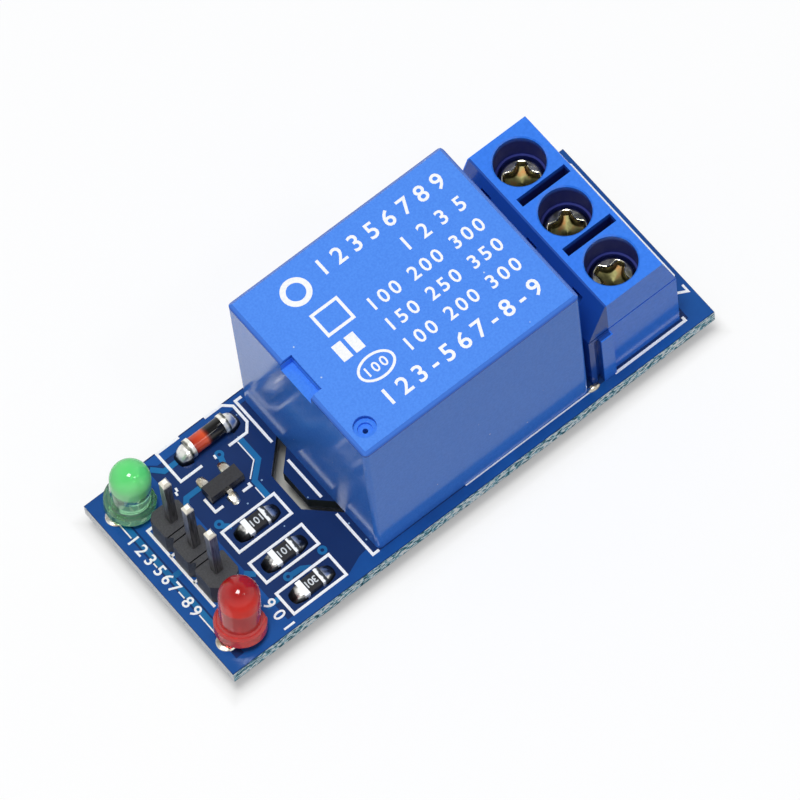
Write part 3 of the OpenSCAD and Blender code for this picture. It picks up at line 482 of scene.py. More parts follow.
# The figures stand in rows that end at one right-hand edge, beside a column of plain signs. A row
# is its figures, their height, its foot from the board's near edge, and its length
print_t, sunk = 0.03, 0.005
print_up = (case_high.z - deck) / mm - sunk
right_edge = 31.25
rows = (
    ("12356789", 1.38, 13.5, 10.8),
    ("1235", 1.2, 11.25, 5.2),
    ("100 200 300", 1.12, 9.15, 9.9),
    ("150 250 350", 1.12, 7.13, 9.9),
    ("100 200 300", 1.12, 5.12, 9.9),
    ("123-567-8-9", 1.42, 2.72, 13.5),
)
figures = bmesh.new()
for words, height, bottom, length in rows:
    stamp(figures, words, height, spot(right_edge - length, bottom, print_up), length, thick=print_t)
lay_ring(figures, 18.0, 13.85, outer=1.15, inner=0.72, thick=print_t, up=print_up, sides=40)
lay_strip(figures, oblong(17.65, 9.75, 19.85, 11.7), 0.24, print_t, print_up, closed=True)
for x in (17.2, 18.3):
    lay_plate(figures, oblong(x, 7.45, x + 0.8, 8.95), print_t, print_up)
turns = [math.tau * i / 36 for i in range(36)]
oval = [(18.72 + 1.42 * math.cos(a), 5.8 + 0.95 * math.sin(a)) for a in turns]
lay_strip(figures, oval, 0.2, print_t, print_up, closed=True)
stamp(figures, "100", 0.82, spot(17.85, 5.38, print_up), 1.75, thick=print_t)
pad_ink = white_ink("pad_printed_white_ink", "#ffffff", "#f1f6fc", grit=0.2 * mm)
place(figures, "relay_print", pad_ink)


# ---------------------------------------------------------------- inside the relay
# A moulded bobbin wound with enamelled copper wire on a soft-iron core, a nickel-plated iron yoke
# and armature, bronze spring and brass strips with silver-alloy contact buttons.


def metal(name, light, dark, rough, grain, stretch=(1, 1, 1)):
    """Plated or rolled metal, by two tones, with a fine grain that may be drawn out one way."""
    material, tree, shader, where = finish(name, Metallic=1.0)
    drawn = add(tree, "Mapping", {"Vector": where, "Scale": stretch})
    noise = add(tree, "TexNoise", {"Vector": drawn, "Scale": 1 / grain, "Detail": 3.0}).outputs["Fac"]
    colour = add(tree, "ValToRGB", {"Fac": noise}, [(0.35, dark), (0.65, light)])
    sheen = add(tree, "MapRange", {"Value": noise, "To Min": rough * 1.4, "To Max": rough * 0.7})
    bump = add(tree, "Bump", {"Height": noise, "Strength": 0.15, "Distance": 0.02 * mm})
    give(tree, shader, {"Base Color": colour, "Roughness": sheen, "Normal": bump})
    return material


def plastic(name, light, dark, rough, grain, relief=0.25):
    """Moulded plastic, by two close tones, with the grain of its mould."""
    material, tree, shader, where = finish(name, IOR=1.5)
    noise = add(tree, "TexNoise", {"Vector": where, "Scale": 1 / grain, "Detail": 3.0}).outputs["Fac"]
    colour = add(tree, "ValToRGB", {"Fac": noise}, [(0.35, dark), (0.65, light)])
    sheen = add(tree, "MapRange", {"Value": noise, "To Min": rough * 1.15, "To Max": rough * 0.85})
    bump = add(tree, "Bump", {"Height": noise, "Strength": relief, "Distance": 0.02 * mm})
    give(tree, shader, {"Base Color": colour, "Roughness": sheen, "Normal": bump})
    return material


def wound_wire():
    """Enamelled copper wire of 0.12 mm, drawn as coarse as it needs to show, in level turns, painted darker
    between the turns as shade.
    """
    pitch = 0.3 * mm
    material, tree, shader, where = finish("wound_enamelled_copper", Metallic=1.0, Roughness=0.3)
    wave = {"Vector": where, "Scale": band / pitch}
    turns = add(tree, "TexWave", wave, bands_direction="Z").outputs["Fac"]
    # Painted shade: each turn is coloured dark where it dips beside the next
    colour = add(tree, "ValToRGB", {"Fac": turns}, [(0.0, "#5a2410"), (0.6, "#c8703a")])
    bump = add(tree, "Bump", {"Height": turns, "Strength": 0.6, "Distance": 0.05 * mm})
    give(tree, shader, {"Base Color": colour, "Normal": bump})
    return material


dark_blue = plastic("moulded_dark_blue_polyester", "#2c5cb4", "#234d9c", rough=0.4, grain=0.2 * mm)
natural = plastic("moulded_natural_polyester", "#ddd5bd", "#cfc5a8", rough=0.45, grain=0.2 * mm)
upright = (1, 1, 0.2)  # Draw lines run up and down, five times as long as they are wide
iron = metal("nickel_plated_soft_iron", "#b9bcc0", "#8d9094", rough=0.3, grain=0.12 * mm, stretch=upright)
brass = metal("stamped_brass", "#d8b56a", "#a9823c", rough=0.24, grain=0.1 * mm, stretch=upright)
silver = metal("pressed_silver_alloy", "#f1f0ec", "#cfcdc8", rough=0.2, grain=0.1 * mm)
tin = metal("tin_plated_brass", "#e6e4dc", "#a9a79f", rough=0.22, grain=0.15 * mm, stretch=(1, 1, 0.25))
dress("relay_base", dark_blue)
dress("coil_bobbin", natural)
dress("coil_winding", wound_wire())
for node in ("coil_core", "relay_yoke", "armature"):
    dress(node, iron)
for node in ("common_strip", "closed_contact_strip", "open_contact_strip", "contact_spring"):
    dress(node, brass)
dress("moving_contact", silver)
for node in ("coil_pin_1", "coil_pin_2"):
    dress(node, tin)


# ---------------------------------------------------------------- screw terminal
# A three-way block moulded in bright blue polyamide, with a round well over each clamp screw and a
# slot between the ways. It was pushed into the board and soldered by its three pins.

block_low, block_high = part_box("terminal_housing")


def block_plastic():
    """Moulded blue polyamide: glossy outside, painted darker as shade on the slope beside the relay, and
    dull with painted shade low in its wells.
    """
    well_half, wells_reach = 2.28 * mm, 7.2 * mm
    slope_start, slope_reach = 2.5 * mm, 7.7 * mm
    lip, dark_from = 0.12 * mm, 0.7 * mm
    material, tree, shader, where = finish("moulded_blue_polyamide", IOR=1.5)
    split = add(tree, "SeparateXYZ", {"Vector": where}).outputs
    noise = add(tree, "TexNoise", {"Vector": where, "Scale": 4 / mm, "Detail": 3.0}).outputs["Fac"]
    outside = add(tree, "ValToRGB", {"Fac": noise}, [(0.35, "#3680f2"), (0.65, "#3c88fb")])
    screw_low, screw_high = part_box("terminal_screw_2")
    axis = (screw_low.x + screw_high.x) / 2
    away = add(tree, "Math", {0: split["X"], 1: axis}, operation="SUBTRACT")
    side = add(tree, "Math", {0: away}, operation="ABSOLUTE")
    within = add(tree, "Math", {0: side, 1: well_half}, operation="LESS_THAN")
    middle = (block_low.y + block_high.y) / 2
    row = add(tree, "Math", {0: split["Y"], 1: middle}, operation="SUBTRACT")
    span = add(tree, "Math", {0: row}, operation="ABSOLUTE")
    between = add(tree, "Math", {0: span, 1: wells_reach}, operation="LESS_THAN")
    drop = {"From Min": block_high.z - lip, "From Max": block_high.z - dark_from}
    deep_shade = add(tree, "MapRange", {"Value": split["Z"], **drop})
    inner = add(tree, "Math", {0: within, 1: between}, operation="MULTIPLY")
    well_shade = add(tree, "Math", {0: inner, 1: deep_shade}, operation="MULTIPLY")
    # Painted shade: the slope beside the relay is coloured darker, for the relay's shadow on it
    slope = add(tree, "Math", {0: away, 1: -slope_start}, operation="LESS_THAN")
    inset = add(tree, "Math", {0: span, 1: slope_reach}, operation="LESS_THAN")
    slope_in_shade = add(tree, "Math", {0: slope, 1: inset}, operation="MULTIPLY")
    slope_shade = {"Fac": slope_in_shade, "Color1": outside, "Color2": linear("#1f4fa8")}
    shell = add(tree, "MixRGB", slope_shade)
    # Painted shade: the wells' walls darken with depth
    colour = add(tree, "MixRGB", {"Fac": well_shade, "Color1": shell, "Color2": linear("#10227c")})
    rough = add(tree, "MapRange", {"Value": well_shade, "To Min": 0.16, "To Max": 0.6})
    bump = add(tree, "Bump", {"Height": noise, "Strength": 0.06, "Distance": 0.02 * mm})
    give(tree, shader, {"Base Color": colour, "Roughness": rough, "Normal": bump})
    return material


dress("terminal_housing", block_plastic())


# ---------------------------------------------------------------- clamp screws and cages
# M3 screws of steel, cold headed with a cross recess and nickel plated. Each pulls a folded,
# tin-plated cage up against the pin's strip, and the wire is held between them.


def smooth_step(value, low, high):
    """Nought below low, one above high, and an even slope between."""
    share = min(max((value - low) / (high - low), 0.0), 1.0)
    return share * share * (3 - 2 * share)


def recess_depth(x, y):
    """How deep the cross recess is at a place on a screw head, in millimetres."""
    round_in, arm_half, arm_end = 0.3, 0.4, 1.3
    narrower, deepest, shallower = 0.1, 0.85, 0.4
    away = math.hypot(x, y)
    across = -round_in * math.log(math.exp(-abs(x) / round_in) + math.exp(-abs(y) / round_in))
    half = arm_half - narrower * smooth_step(away, 0.5, arm_end)
    arm = 1 - smooth_step(across - half, -0.14, 0.1)
    reach = 1 - smooth_step(away, 1.16, 1.38)
    return arm * reach * (deepest - shallower * min(away / arm_end, 1))


def turned(side, steps):
    """A solid spun about the upright axis from its side view, by pairs of radius and height."""
    bm = bmesh.new()
    verts = [bm.verts.new((r, 0, z)) for r, z in side]
    edges = [bm.edges.new(pair) for pair in zip(verts, verts[1:])]
    path = {"axis": (0, 0, 1), "cent": (0, 0, 0), "angle": math.tau}
    bmesh.ops.spin(bm, geom=verts + edges, steps=steps, use_merge=True, **path)
    bmesh.ops.remove_doubles(bm, verts=bm.verts[:], dist=0.0005 * mm)
    return bm


def cross_screw(name, node, turn, body, material):
    """A headed screw, turned, with its recess pressed into the head."""
    flat_r, crown_t, head_t, neck_t, rings = 1.4 * mm, 0.42 * mm, 1.25 * mm, 1.3 * mm, 30
    skin = 0.01 * mm
    low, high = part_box(node)
    middle = Vector(((low.x + high.x) / 2, (low.y + high.y) / 2, 0))
    radius = (high.x - low.x) / 2
    shank_r = radius * 0.78
    crown = [(1.47, 0.02), (1.54, 0.08), (1.6, 0.18), (1.64, 0.32)]
    side = [(flat_r * i / rings, high.z) for i in range(rings + 1)]
    side += [(r * mm, high.z - drop * mm) for r, drop in crown]
    side += [(radius, high.z - crown_t), (radius, high.z - head_t)]
    side += [(shank_r, high.z - neck_t), (shank_r, low.z), (0.0, low.z)]
    bm = turned(side, 120)
    for vert in bm.verts:
        if vert.co.z > high.z - skin:
            vert.co.z -= recess_depth(vert.co.x / mm, vert.co.y / mm) * mm
    bmesh.ops.rotate(bm, verts=bm.verts[:], cent=(0, 0, 0), matrix=Matrix.Rotation(turn, 3, "Z"))
    bmesh.ops.translate(bm, verts=bm.verts[:], vec=middle)
    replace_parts(place(bm, name, material, body, smooth=True), node)


def plated_screw():
    """Nickel-plated steel: a bright, faintly warm head, and painted shade that darkens and browns the recess
    with depth.
    """
    recess_shade_t, unshaded_t = 0.5 * mm, 0.06 * mm
    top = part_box("terminal_screw_1")[1].z
    material, tree, shader, where = finish("nickel_plated_steel_screw", Metallic=1.0)
    height = add(tree, "SeparateXYZ", {"Vector": where}).outputs["Z"]
    climb = {"From Min": top - recess_shade_t, "From Max": top - unshaded_t}
    share = add(tree, "MapRange", {"Value": height, **climb})
    blotch = add(tree, "TexNoise", {"Vector": where, "Scale": 1.1 / mm, "Detail": 3.0}).outputs["Fac"]
    # Painted shade: the recess is coloured darker and browner below the head's face
    deep_shade = add(tree, "ValToRGB", {"Fac": blotch}, [(0.38, "#4e4c30"), (0.5, "#6b6844"), (0.64, "#7c5c38")])
    head = add(tree, "ValToRGB", {"Fac": blotch}, [(0.35, "#8b8c7c"), (0.6, "#f4f0dc")])
    colour = add(tree, "MixRGB", {"Fac": share, "Color1": deep_shade, "Color2": head})
    rough = add(tree, "MapRange", {"Value": share, "To Min": 0.46, "To Max": 0.16})
    bump = add(tree, "Bump", {"Height": blotch, "Strength": 0.3, "Distance": 0.06 * mm})
    give(tree, shader, {"Base Color": colour, "Roughness": rough, "Normal": bump})
    return material


screw_finish = plated_screw()
for way, turn in ((1, 25), (2, 55), (3, 51)):
    angle = math.radians(turn)
    cross_screw(f"clamp_screw_{way}", f"terminal_screw_{way}", angle, f"screw_{way}", screw_finish)
    dress(f"terminal_cage_{way}", tin)
    dress(f"terminal_pin_{way}", tin)


# ---------------------------------------------------------------- pin header
# Three square brass pins of 0.64 mm, tin plated and cut to a bevelled tip, pressed through a strip
# of black glass-filled polyester that breaks off a long moulded comb.

black = plastic("moulded_black_polyester", "#3a3b3e", "#2b2c2f", rough=0.5, grain=0.12 * mm, relief=0.4)
dress("header_housing", black)


def cut_pin():
    """Drawn and tin-plated wire: grey flanks with draw lines, and the top of each pin painted near-white as
    a highlight.
    """
    tip_h = 0.45 * mm
    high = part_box("header_pin_1")[1]
    material, tree, shader, where = finish("drawn_tinned_pin", Metallic=1.0)
    height = add(tree, "SeparateXYZ", {"Vector": where}).outputs["Z"]
    tip_highlight = add(tree, "Math", {0: height, 1: high.z - tip_h}, operation="GREATER_THAN")
    drawn = add(tree, "Mapping", {"Vector": where, "Scale": (1, 1, 0.08)})
    lines = add(tree, "TexNoise", {"Vector": drawn, "Scale": 8 / mm, "Detail": 3.0}).outputs["Fac"]
    flank = add(tree, "ValToRGB", {"Fac": lines}, [(0.35, "#5b5a5b"), (0.65, "#a3a1a4")])
    # Painted highlight: the top of the pin is coloured near-white
    colour = add(tree, "MixRGB", {"Fac": tip_highlight, "Color1": flank, "Color2": linear("#f3eee0")})
    rough = add(tree, "MapRange", {"Value": tip_highlight, "To Min": 0.3, "To Max": 0.5})
    give(tree, shader, {"Base Color": colour, "Roughness": rough})
    return material


drawn_pin = cut_pin()
for pin in (1, 2, 3):
    dress(f"header_pin_{pin}", drawn_pin)


# ---------------------------------------------------------------- indicator lamps
# Two 3 mm lamps cast in tinted epoxy round a pair of tinned iron legs. Each has a flange with a
# flat beside its cathode, a round dome, and stands a little askew, as it was soldered by hand.

lamp_r, lamp_h, lamp_seat = 1.5 * mm, 5.3 * mm, 0.5 * mm
flange_r, flange_t = 1.9 * mm, 1.0 * mm


def lamp_stand(foot, lean):
    """Where a lamp stands: its foot on the board, its lean about X then Y, and its seat."""
    about_x = Matrix.Rotation(math.radians(lean[0]), 4, "X")
    about_y = Matrix.Rotation(math.radians(lean[1]), 4, "Y")
    return Matrix.Translation(foot) @ about_y @ about_x @ Matrix.Translation((0, 0, lamp_seat))


def lamp_lens(name, node, stand, material):
    """A cast lens, turned, with the flat on its flange, leaning as its legs do."""
    under, over, rings = 0.12 * mm, 0.15 * mm, 16
    flat = lamp_r + 0.1 * mm
    side = [(0, 0), (flange_r - under, 0), (flange_r, under), (flange_r, flange_t - over)]
    side += [(flange_r - over, flange_t), (lamp_r + under, flange_t), (lamp_r, flange_t + under)]
    side += [(lamp_r, 2.2 * mm), (lamp_r, 3.0 * mm)]
    for i in range(rings + 1):
        a = math.pi / 2 * i / rings
        side.append((lamp_r * math.cos(a), lamp_h - lamp_r + lamp_r * math.sin(a)))
    bm = turned(side, 64)
    for vert in bm.verts:
        if vert.co.z < flange_t + 0.05 * mm:
            vert.co.x = min(vert.co.x, flat)
    bmesh.ops.transform(bm, matrix=stand, verts=bm.verts[:])
    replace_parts(place(bm, name, material, smooth=True), node)


def cast_epoxy(name, stand, top, glow, body, clearness):
    """Tinted epoxy: a milky dome with a painted glow on its near lower side, over a clear foot."""
    milk_from, milk_full = 3.0 * mm, 3.3 * mm
    below, above = 0.7 * mm, 0.8 * mm
    away_from_painted_glow = Vector((0.25, 0.62, 0.74))
    axis = (stand.to_3x3() @ Vector((0, 0, 1))).normalized()
    foot = stand.translation.dot(axis)
    heart = (stand @ Vector((0, 0, lamp_h - lamp_r))).dot(away_from_painted_glow)
    spread = {"Subsurface_Scale": 0.001, "Subsurface_Radius": (1.0, 1.0, 1.0)}
    material, tree, shader, where = finish(name, IOR=1.5, Roughness=0.08, **spread)
    along = add(tree, "VectorMath", {0: where, 1: axis}, operation="DOT_PRODUCT").outputs["Value"]
    swirl = add(tree, "TexNoise", {"Vector": where, "Scale": 0.5 / mm, "Detail": 2.0}).outputs["Fac"]
    climb = {"From Min": foot + milk_from, "From Max": foot + milk_full}
    milky = add(tree, "MapRange", {"Value": along, **climb})
    # Painted light: the milky part is coloured brighter toward its near lower side, as a glow
    across = add(tree, "VectorMath", {0: where, 1: away_from_painted_glow}, operation="DOT_PRODUCT").outputs["Value"]
    turn = {"From Min": heart - below, "From Max": heart + above}
    rise = add(tree, "MapRange", {"Value": across, **turn})
    mixed = add(tree, "MixRGB", {"Fac": 0.2, "Color1": rise, "Color2": swirl})
    dome = add(tree, "ValToRGB", {"Fac": mixed}, [(0.1, glow), (0.75, top)])
    colour = add(tree, "MixRGB", {"Fac": milky, "Color1": linear(body), "Color2": dome})
    clear = add(tree, "MapRange", {"Value": milky, "To Min": clearness, "To Max": 0.08})
    soft = add(tree, "MapRange", {"Value": milky, "To Min": 0.0, "To Max": 0.4})
    give(tree, shader, {"Base Color": colour, "Transmission Weight": clear, "Subsurface Weight": soft})
    return material


red_stand = lamp_stand(spot(2.5, 2.3), lean=(-6, 8.5))
red_epoxy = cast_epoxy("cast_red_epoxy", red_stand, "#b81e1e", "#ff2a10", "#ff5a56", clearness=0.55)
lamp_lens("red_lens", "red_lamp", red_stand, red_epoxy)
green_stand = lamp_stand(spot(2.5, 14.9), lean=(2.5, 4.5))
green_epoxy = cast_epoxy("cast_green_epoxy", green_stand, "#6cec84", "#96ffa6", "#b0f4c2", clearness=0.85)
lamp_lens("green_lens", "green_lamp", green_stand, green_epoxy)
for node in ("red_lamp_anode", "red_lamp_cathode", "green_lamp_anode", "green_lamp_cathode"):
    dress(node, tin)


# ---------------------------------------------------------------- resistors
# Thick-film chips: an alumina body under a black glass glaze with a plain white number, and plated
# ends. Solder wicked up each end and set in a hollow curve.


def fillet(bm, root, out, half, reach, height):
    """Solder that climbs a part's end: full beside it, then falling to a foot that is narrower."""
    skirt, thinnest, sole = 0.02, 0.004, 0.001
    narrowing, hollow, fullness, rounding = 0.35, 2.4, 6, 0.12
    grid = bmesh.ops.create_grid(bm, x_segments=10, y_segments=12, size=1.0)["verts"]
    faces = list({f for v in grid for f in v.link_faces})
    across = Vector((-out.y, out.x, 0))
    for vert in grid:
        run, over = (vert.co.x + 1) / 2, vert.co.y
        width = half * (1 - narrowing * run * run)
        rise = height * (1 - run**hollow) * (1 - over**fullness) + skirt * (1 - run)
        vert.co = root + (out * run * reach * (1 - rounding * over * over) + across * over * width) * mm
        vert.co.z = deck + max(rise, thinnest) * mm
    under = bmesh.ops.extrude_face_region(bm, geom=faces, use_keep_orig=True)["geom"]
    for vert in [g for g in under if isinstance(g, bmesh.types.BMVert)]:
        vert.co.z = deck + sole * mm


def solder_with_painted_gleam():
    """Tin-lead solder with painted light: a painted highlight where it is thick, and a painted dark
    reflection at its thin foot.
    """
    thin, full = 0.1 * mm, 0.62 * mm
    material, tree, shader, where = finish("reflowed_solder_painted_gleam", Metallic=1.0)
    height = add(tree, "SeparateXYZ", {"Vector": where}).outputs["Z"]
    patch = add(tree, "TexNoise", {"Vector": where, "Scale": 1.6 / mm, "Detail": 3.0}).outputs["Fac"]
    climb = {"From Min": deck + thin, "From Max": deck + full}
    share = add(tree, "MapRange", {"Value": height, **climb})
    mixed = add(tree, "MixRGB", {"Fac": 0.6, "Color1": share, "Color2": patch})
    # Painted reflection and highlight: dark at the thin foot, near-white where the fillet is thick
    colour = add(tree, "ValToRGB", {"Fac": mixed}, [(0.35, "#26282c"), (0.56, "#4c4f53"), (0.68, "#f4f3ee")])
    rough = add(tree, "MapRange", {"Value": patch, "To Min": 0.5, "To Max": 0.25})
    bump = add(tree, "Bump", {"Height": patch, "Strength": 0.3, "Distance": 0.08 * mm})
    give(tree, shader, {"Base Color": colour, "Roughness": rough, "Normal": bump})
    return material


def plated_end_painted_light():
    """Barrel-plated tin with painted light: white as a highlight up to a ragged line near the right end of
    the glaze, dark as a reflection beyond it.
    """
    dark_inset, edge_l, ragged = 0.22 * mm, 0.08 * mm, 0.2 * mm
    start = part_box("resistor_1")[1].x - dark_inset
    material, tree, shader, where = finish("plated_tin_painted_highlight_and_dark", Metallic=1.0, Roughness=0.5)
    along = add(tree, "SeparateXYZ", {"Vector": where}).outputs["X"]
    patch = add(tree, "TexNoise", {"Vector": where, "Scale": 2.5 / mm, "Detail": 2.0}).outputs["Fac"]
    shift = add(tree, "MapRange", {"Value": patch, "To Min": -ragged, "To Max": ragged})
    edge = add(tree, "Math", {0: along, 1: shift}, operation="ADD")
    climb = {"From Min": start, "From Max": start + edge_l}
    dark_reflection_share = add(tree, "MapRange", {"Value": edge, **climb})
    # Painted highlight and painted dark reflection: white on one side of the ragged line, dark on the other
    tones = {"Color1": linear("#eceeed"), "Color2": linear("#3c4044")}
    give(tree, shader, {"Base Color": add(tree, "MixRGB", {"Fac": dark_reflection_share, **tones})})
    return material


code_h, code_l, code_t, seat = 0.58, 0.92, 0.015, 0.14
glaze = plastic("fired_black_glaze", "#2a2a2d", "#1b1b1e", rough=0.3, grain=0.3 * mm, relief=0.15)
numbers = bmesh.new()
joints = bmesh.new()
for row, words, turn in ((1, "101", 0.0), (2, "101", 0.0), (3, "301", math.pi)):
    dress(f"resistor_{row}", glaze)
    low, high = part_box(f"resistor_{row}")
    middle = (low + high) / 2
    shift = Matrix.Rotation(turn, 4, "Z") @ Vector((-code_l / 2 * mm, -code_h / 2 * mm, 0))
    corner = Vector((middle.x + shift.x, middle.y + shift.y, high.z - sunk * mm))
    stamp(numbers, words, code_h, corner, code_l, turn=turn, thick=code_t)
    for way, end in ((-1, low.x), (1, high.x)):
        root = Vector((end - way * seat * mm, middle.y, 0))
        fillet(joints, root, Vector((way, 0, 0)), half=0.72, reach=1.06, height=0.55)
fired_mark = white_ink("fired_white_mark", "#e4e9ea", "#b9c2c5", grit=0.1 * mm)
place(numbers, "resistor_numbers", fired_mark)
dress("resistor_ends", plated_end_painted_light())


# ---------------------------------------------------------------- transistor
# A three-legged transistor moulded in black epoxy, with tinned gull-wing legs. Its feet sit in small
# bright joints, and so does the end of a relay pin, which shows as a bead at the near margin.

dress("transistor_body", plastic("moulded_black_epoxy", "#2d2d30", "#202023", rough=0.38, grain=0.15 * mm))
dress("transistor_legs", bright_solder)
low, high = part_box("transistor_legs")
middle = (low + high) / 2
feet = bmesh.new()
foot_l, leg_aside = 0.4, 0.95
for along, way in ((-leg_aside, 1), (leg_aside, 1), (0.0, -1)):
    end = high.y if way > 0 else low.y
    root = Vector((middle.x + along * mm, end - way * foot_l * mm, 0))
    fillet(feet, root, Vector((0, way, 0)), half=0.44, reach=0.85, height=0.2)
bead = Matrix.Translation(spot(33.15, 0.9)) @ Matrix.Diagonal((1.5, 0.8, 0.8, 1))
bmesh.ops.create_icosphere(feet, subdivisions=3, radius=0.36 * mm, matrix=bead)
place(feet, "transistor_solder", bright_solder, smooth=True)


# ---------------------------------------------------------------- diode
# A glass sleeve shrunk over a silicon die between two plated plugs. The copper oxide shows orange
# through the glass, a black painted band marks the cathode, and solder climbs both plugs.

glass_low, glass_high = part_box("diode_glass")


def sleeve():
    """Clear glass over orange oxide, with a black band near one end."""
    material, tree, shader, where = finish("shrunk_glass_sleeve", IOR=1.5, Roughness=0.08)
    along = add(tree, "SeparateXYZ", {"Vector": where}).outputs["X"]
    length = {"From Min": glass_low.x, "From Max": glass_high.x}
    share = add(tree, "MapRange", {"Value": along, **length})
    blur = add(tree, "TexNoise", {"Vector": where, "Scale": 1.2 / mm, "Detail": 2.0}).outputs["Fac"]
    mixed = add(tree, "MixRGB", {"Fac": 0.06, "Color1": share, "Color2": blur})
    oxide = [(0.0, "#5c1a0e"), (0.1, "#c8381a"), (0.42, "#e8562c"), (0.5, "#5c180e"), (0.56, "#0c0a0a")]
    give(tree, shader, {"Base Color": add(tree, "ValToRGB", {"Fac": mixed}, oxide)})
    return material


def plug():
    """Nickel-plated plug: a rim next to the glass painted near-white as a highlight, turning greyer towards
    its end.
    """
    rim, end_full = 0.22 * mm, 0.34 * mm
    material, tree, shader, where = finish("nickel_plated_plug", Metallic=1.0)
    along = add(tree, "SeparateXYZ", {"Vector": where}).outputs["X"]
    left = add(tree, "Math", {0: glass_low.x, 1: along}, operation="SUBTRACT")
    right = add(tree, "Math", {0: along, 1: glass_high.x}, operation="SUBTRACT")
    away = add(tree, "Math", {0: left, 1: right}, operation="MAXIMUM")
    toward_end = add(tree, "MapRange", {"Value": away, "From Min": rim, "From Max": end_full})
    patch = add(tree, "TexNoise", {"Vector": where, "Scale": 2 / mm, "Detail": 3.0}).outputs["Fac"]
    end = add(tree, "ValToRGB", {"Fac": patch}, [(0.4, "#5a5f5a"), (0.6, "#8f8f86")])
    # Painted highlight: the rim beside the glass is coloured near-white
    colour = add(tree, "MixRGB", {"Fac": toward_end, "Color1": linear("#fffdf2"), "Color2": end})
    rough = add(tree, "MapRange", {"Value": toward_end, "To Min": 0.42, "To Max": 0.3})
    give(tree, shader, {"Base Color": colour, "Roughness": rough})
    return material


dress("diode_glass", sleeve())
dress("diode_caps", plug())
low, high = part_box("diode_caps")
for way, end in ((-1, low.x), (1, high.x)):
    root = Vector((end - way * 0.02 * mm, (low.y + high.y) / 2, 0))
    fillet(joints, root, Vector((way, 0, 0)), half=0.78, reach=1.0, height=1.0)
# These joints and the resistors' are one piece, which stands for all the surface solder
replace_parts(place(joints, "chip_solder", solder_with_painted_gleam(), smooth=True), "surface_solder")


# ---------------------------------------------------------------- table, light and camera
# A plain white table in a white room with a dimmer ceiling. A soft lamp hangs overhead and a small
# one stands in front. The camera looks down past the header end with a long lens.


def white_table():
    """Matt laminate that throws back soft grey light, and is lifted to white away from the part; near and
    under the board it is left greyer and unlifted, as painted shade.
    """
    fade_from, fade_full, lifted = -2.5 * mm, 1 * mm, 0.62
    material = bpy.data.materials.new("matt_white_table")
    material.use_nodes = True
    tree = material.node_tree
    tree.nodes.clear()
    split = add(tree, "SeparateXYZ", {"Vector": add(tree, "TexCoord").outputs["Object"]}).outputs
    fade = {"From Min": fade_from, "From Max": fade_full}
    share = add(tree, "MapRange", {"Value": past_board(tree, split), **fade})
    path = add(tree, "LightPath").outputs
    # Painted shade: close to and under the board the table is greyer and has no lift
    painted_shade_greys = {"Color1": linear("#c4c4be"), "Color2": linear("#a9a9a9")}
    bare = add(tree, "MixRGB", {"Fac": share, **painted_shade_greys})
    # Painted shadow, seen only in a shiny side: the table is greyer on the near side of the board and white
    # beyond it
    beyond_reflected_shadow = add(tree, "Math", {0: split["Y"], 1: board_low.y}, operation="GREATER_THAN")
    sides = {"Color1": linear("#c0c0c0"), "Color2": linear("#ffffff")}
    shown = add(tree, "MixRGB", {"Fac": beyond_reflected_shadow, **sides})
    glossy = {"Fac": path["Is Glossy Ray"], "Color1": linear("#c8c8c8"), "Color2": shown}
    thrown = add(tree, "MixRGB", glossy)
    tone = add(tree, "MixRGB", {"Fac": path["Is Camera Ray"], "Color1": thrown, "Color2": bare})
    matt = add(tree, "BsdfDiffuse", {"Color": tone})
    seen = add(tree, "Math", {0: path["Is Camera Ray"], 1: share}, operation="MULTIPLY")
    strength = add(tree, "Math", {0: seen, 1: lifted}, operation="MULTIPLY")
    glow = add(tree, "Emission", {"Strength": strength})
    both = add(tree, "AddShader", {0: matt, 1: glow})
    add(tree, "OutputMaterial", {"Surface": both})
    return material


table = bmesh.new()
bmesh.ops.create_grid(table, x_segments=1, y_segments=1, size=3.0)
table_mesh = bpy.data.meshes.new("table")
table.to_mesh(table_mesh)
table.free()
table_mesh.materials.append(white_table())
table_piece = bpy.data.objects.new("table", table_mesh)
bpy.context.scene.collection.objects.link(table_piece)

world = bpy.data.worlds.new("white_room")
bpy.context.scene.world = world
world.use_nodes = True
room = world.node_tree
room.nodes.clear()
path = add(room, "LightPath").outputs
# The room is white to rays that show it: from the camera, off a gloss or through clear epoxy
seen = {0: path["Is Camera Ray"], 1: path["Is Glossy Ray"]}
either = add(room, "Math", seen, operation="MAXIMUM")
shown = add(room, "Math", {0: either, 1: path["Is Transmission Ray"]}, operation="MAXIMUM")
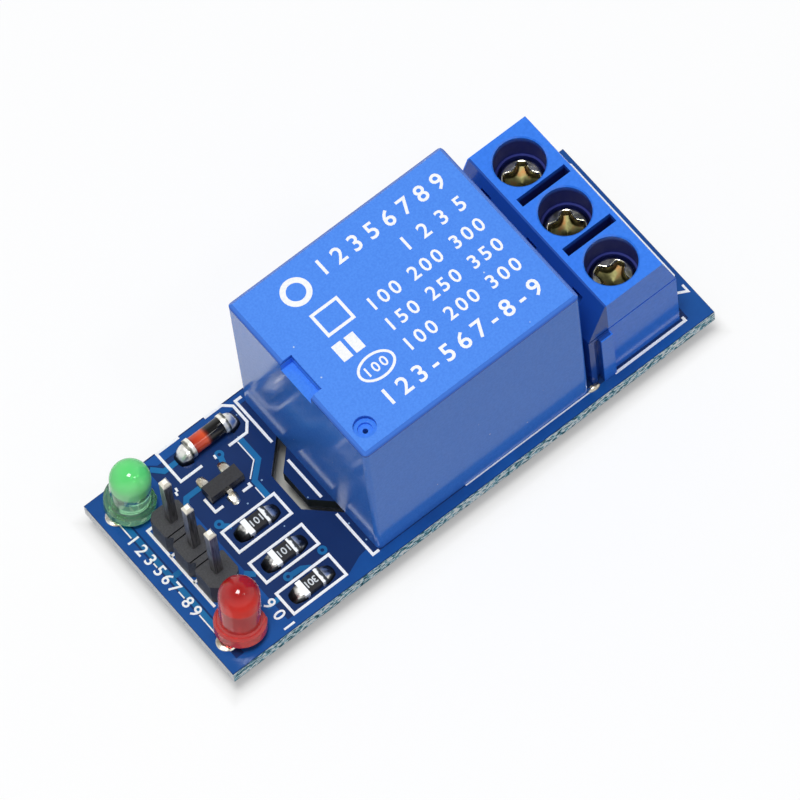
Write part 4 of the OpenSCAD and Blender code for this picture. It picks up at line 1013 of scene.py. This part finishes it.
# A gloss shows the ceiling dimmer than the walls
upward = add(room, "SeparateXYZ", {"Vector": add(room, "TexCoord").outputs["Generated"]}).outputs["Z"]
dimming = {"From Min": 0.5, "From Max": 0.9, "To Min": 1.0, "To Max": 0.3}
ceiling = add(room, "MapRange", {"Value": upward, **dimming})
plain = add(room, "MapRange", {"Value": path["Is Glossy Ray"], "To Min": 1.0, "To Max": 0.0})
bright = add(room, "Math", {0: ceiling, 1: plain}, operation="MAXIMUM")
soft = add(room, "Background", {"Color": linear("#f4f7fb"), "Strength": 0.3})
white = add(room, "Background", {"Color": linear("#ffffff"), "Strength": bright})
mixed = add(room, "MixShader", {0: shown, 1: soft, 2: white})
add(room, "OutputWorld", {"Surface": mixed})


def lamp(name, size, power, place_at, aim):
    """A soft square lamp that looks at a point."""
    light = bpy.data.lights.new(name, "AREA")
    light.size = size
    light.energy = power
    holder = bpy.data.objects.new(name, light)
    bpy.context.scene.collection.objects.link(holder)
    holder.location = place_at
    holder.rotation_euler = (Vector(aim) - Vector(place_at)).to_track_quat("-Z", "Y").to_euler()


middle = (cad_box[0] + cad_box[1]) / 2
lamp("high_lamp", size=0.2, power=2.4, place_at=(-0.061, -0.018, 0.606), aim=middle)
lamp("front_fill", size=0.06, power=0.12, place_at=(0.14, -0.31, 0.52), aim=middle)

look_at = Vector((-1.09 * mm, -2.0 * mm, 9.1 * mm))
away = 0.68686  # How far the camera stands from there, in metres
azimuth, elevation, roll = math.radians(31.11), math.radians(64.09), math.radians(8.365)
level = math.cos(elevation)
back = Vector((-math.sin(azimuth) * level, -math.cos(azimuth) * level, math.sin(elevation)))
lens = bpy.data.cameras.new("long_lens")
lens.lens = 442.94
lens.sensor_width = 36
lens.clip_start, lens.clip_end = 0.01, 20
camera = bpy.data.objects.new("camera", lens)
camera.rotation_mode = "QUATERNION"
camera.rotation_quaternion = back.to_track_quat("Z", "Y") @ Quaternion((0, 0, 1), -roll)
camera.location = look_at + back * away
bpy.context.scene.collection.objects.link(camera)
bpy.context.scene.camera = camera
bpy.context.scene.view_settings.view_transform = "Standard"
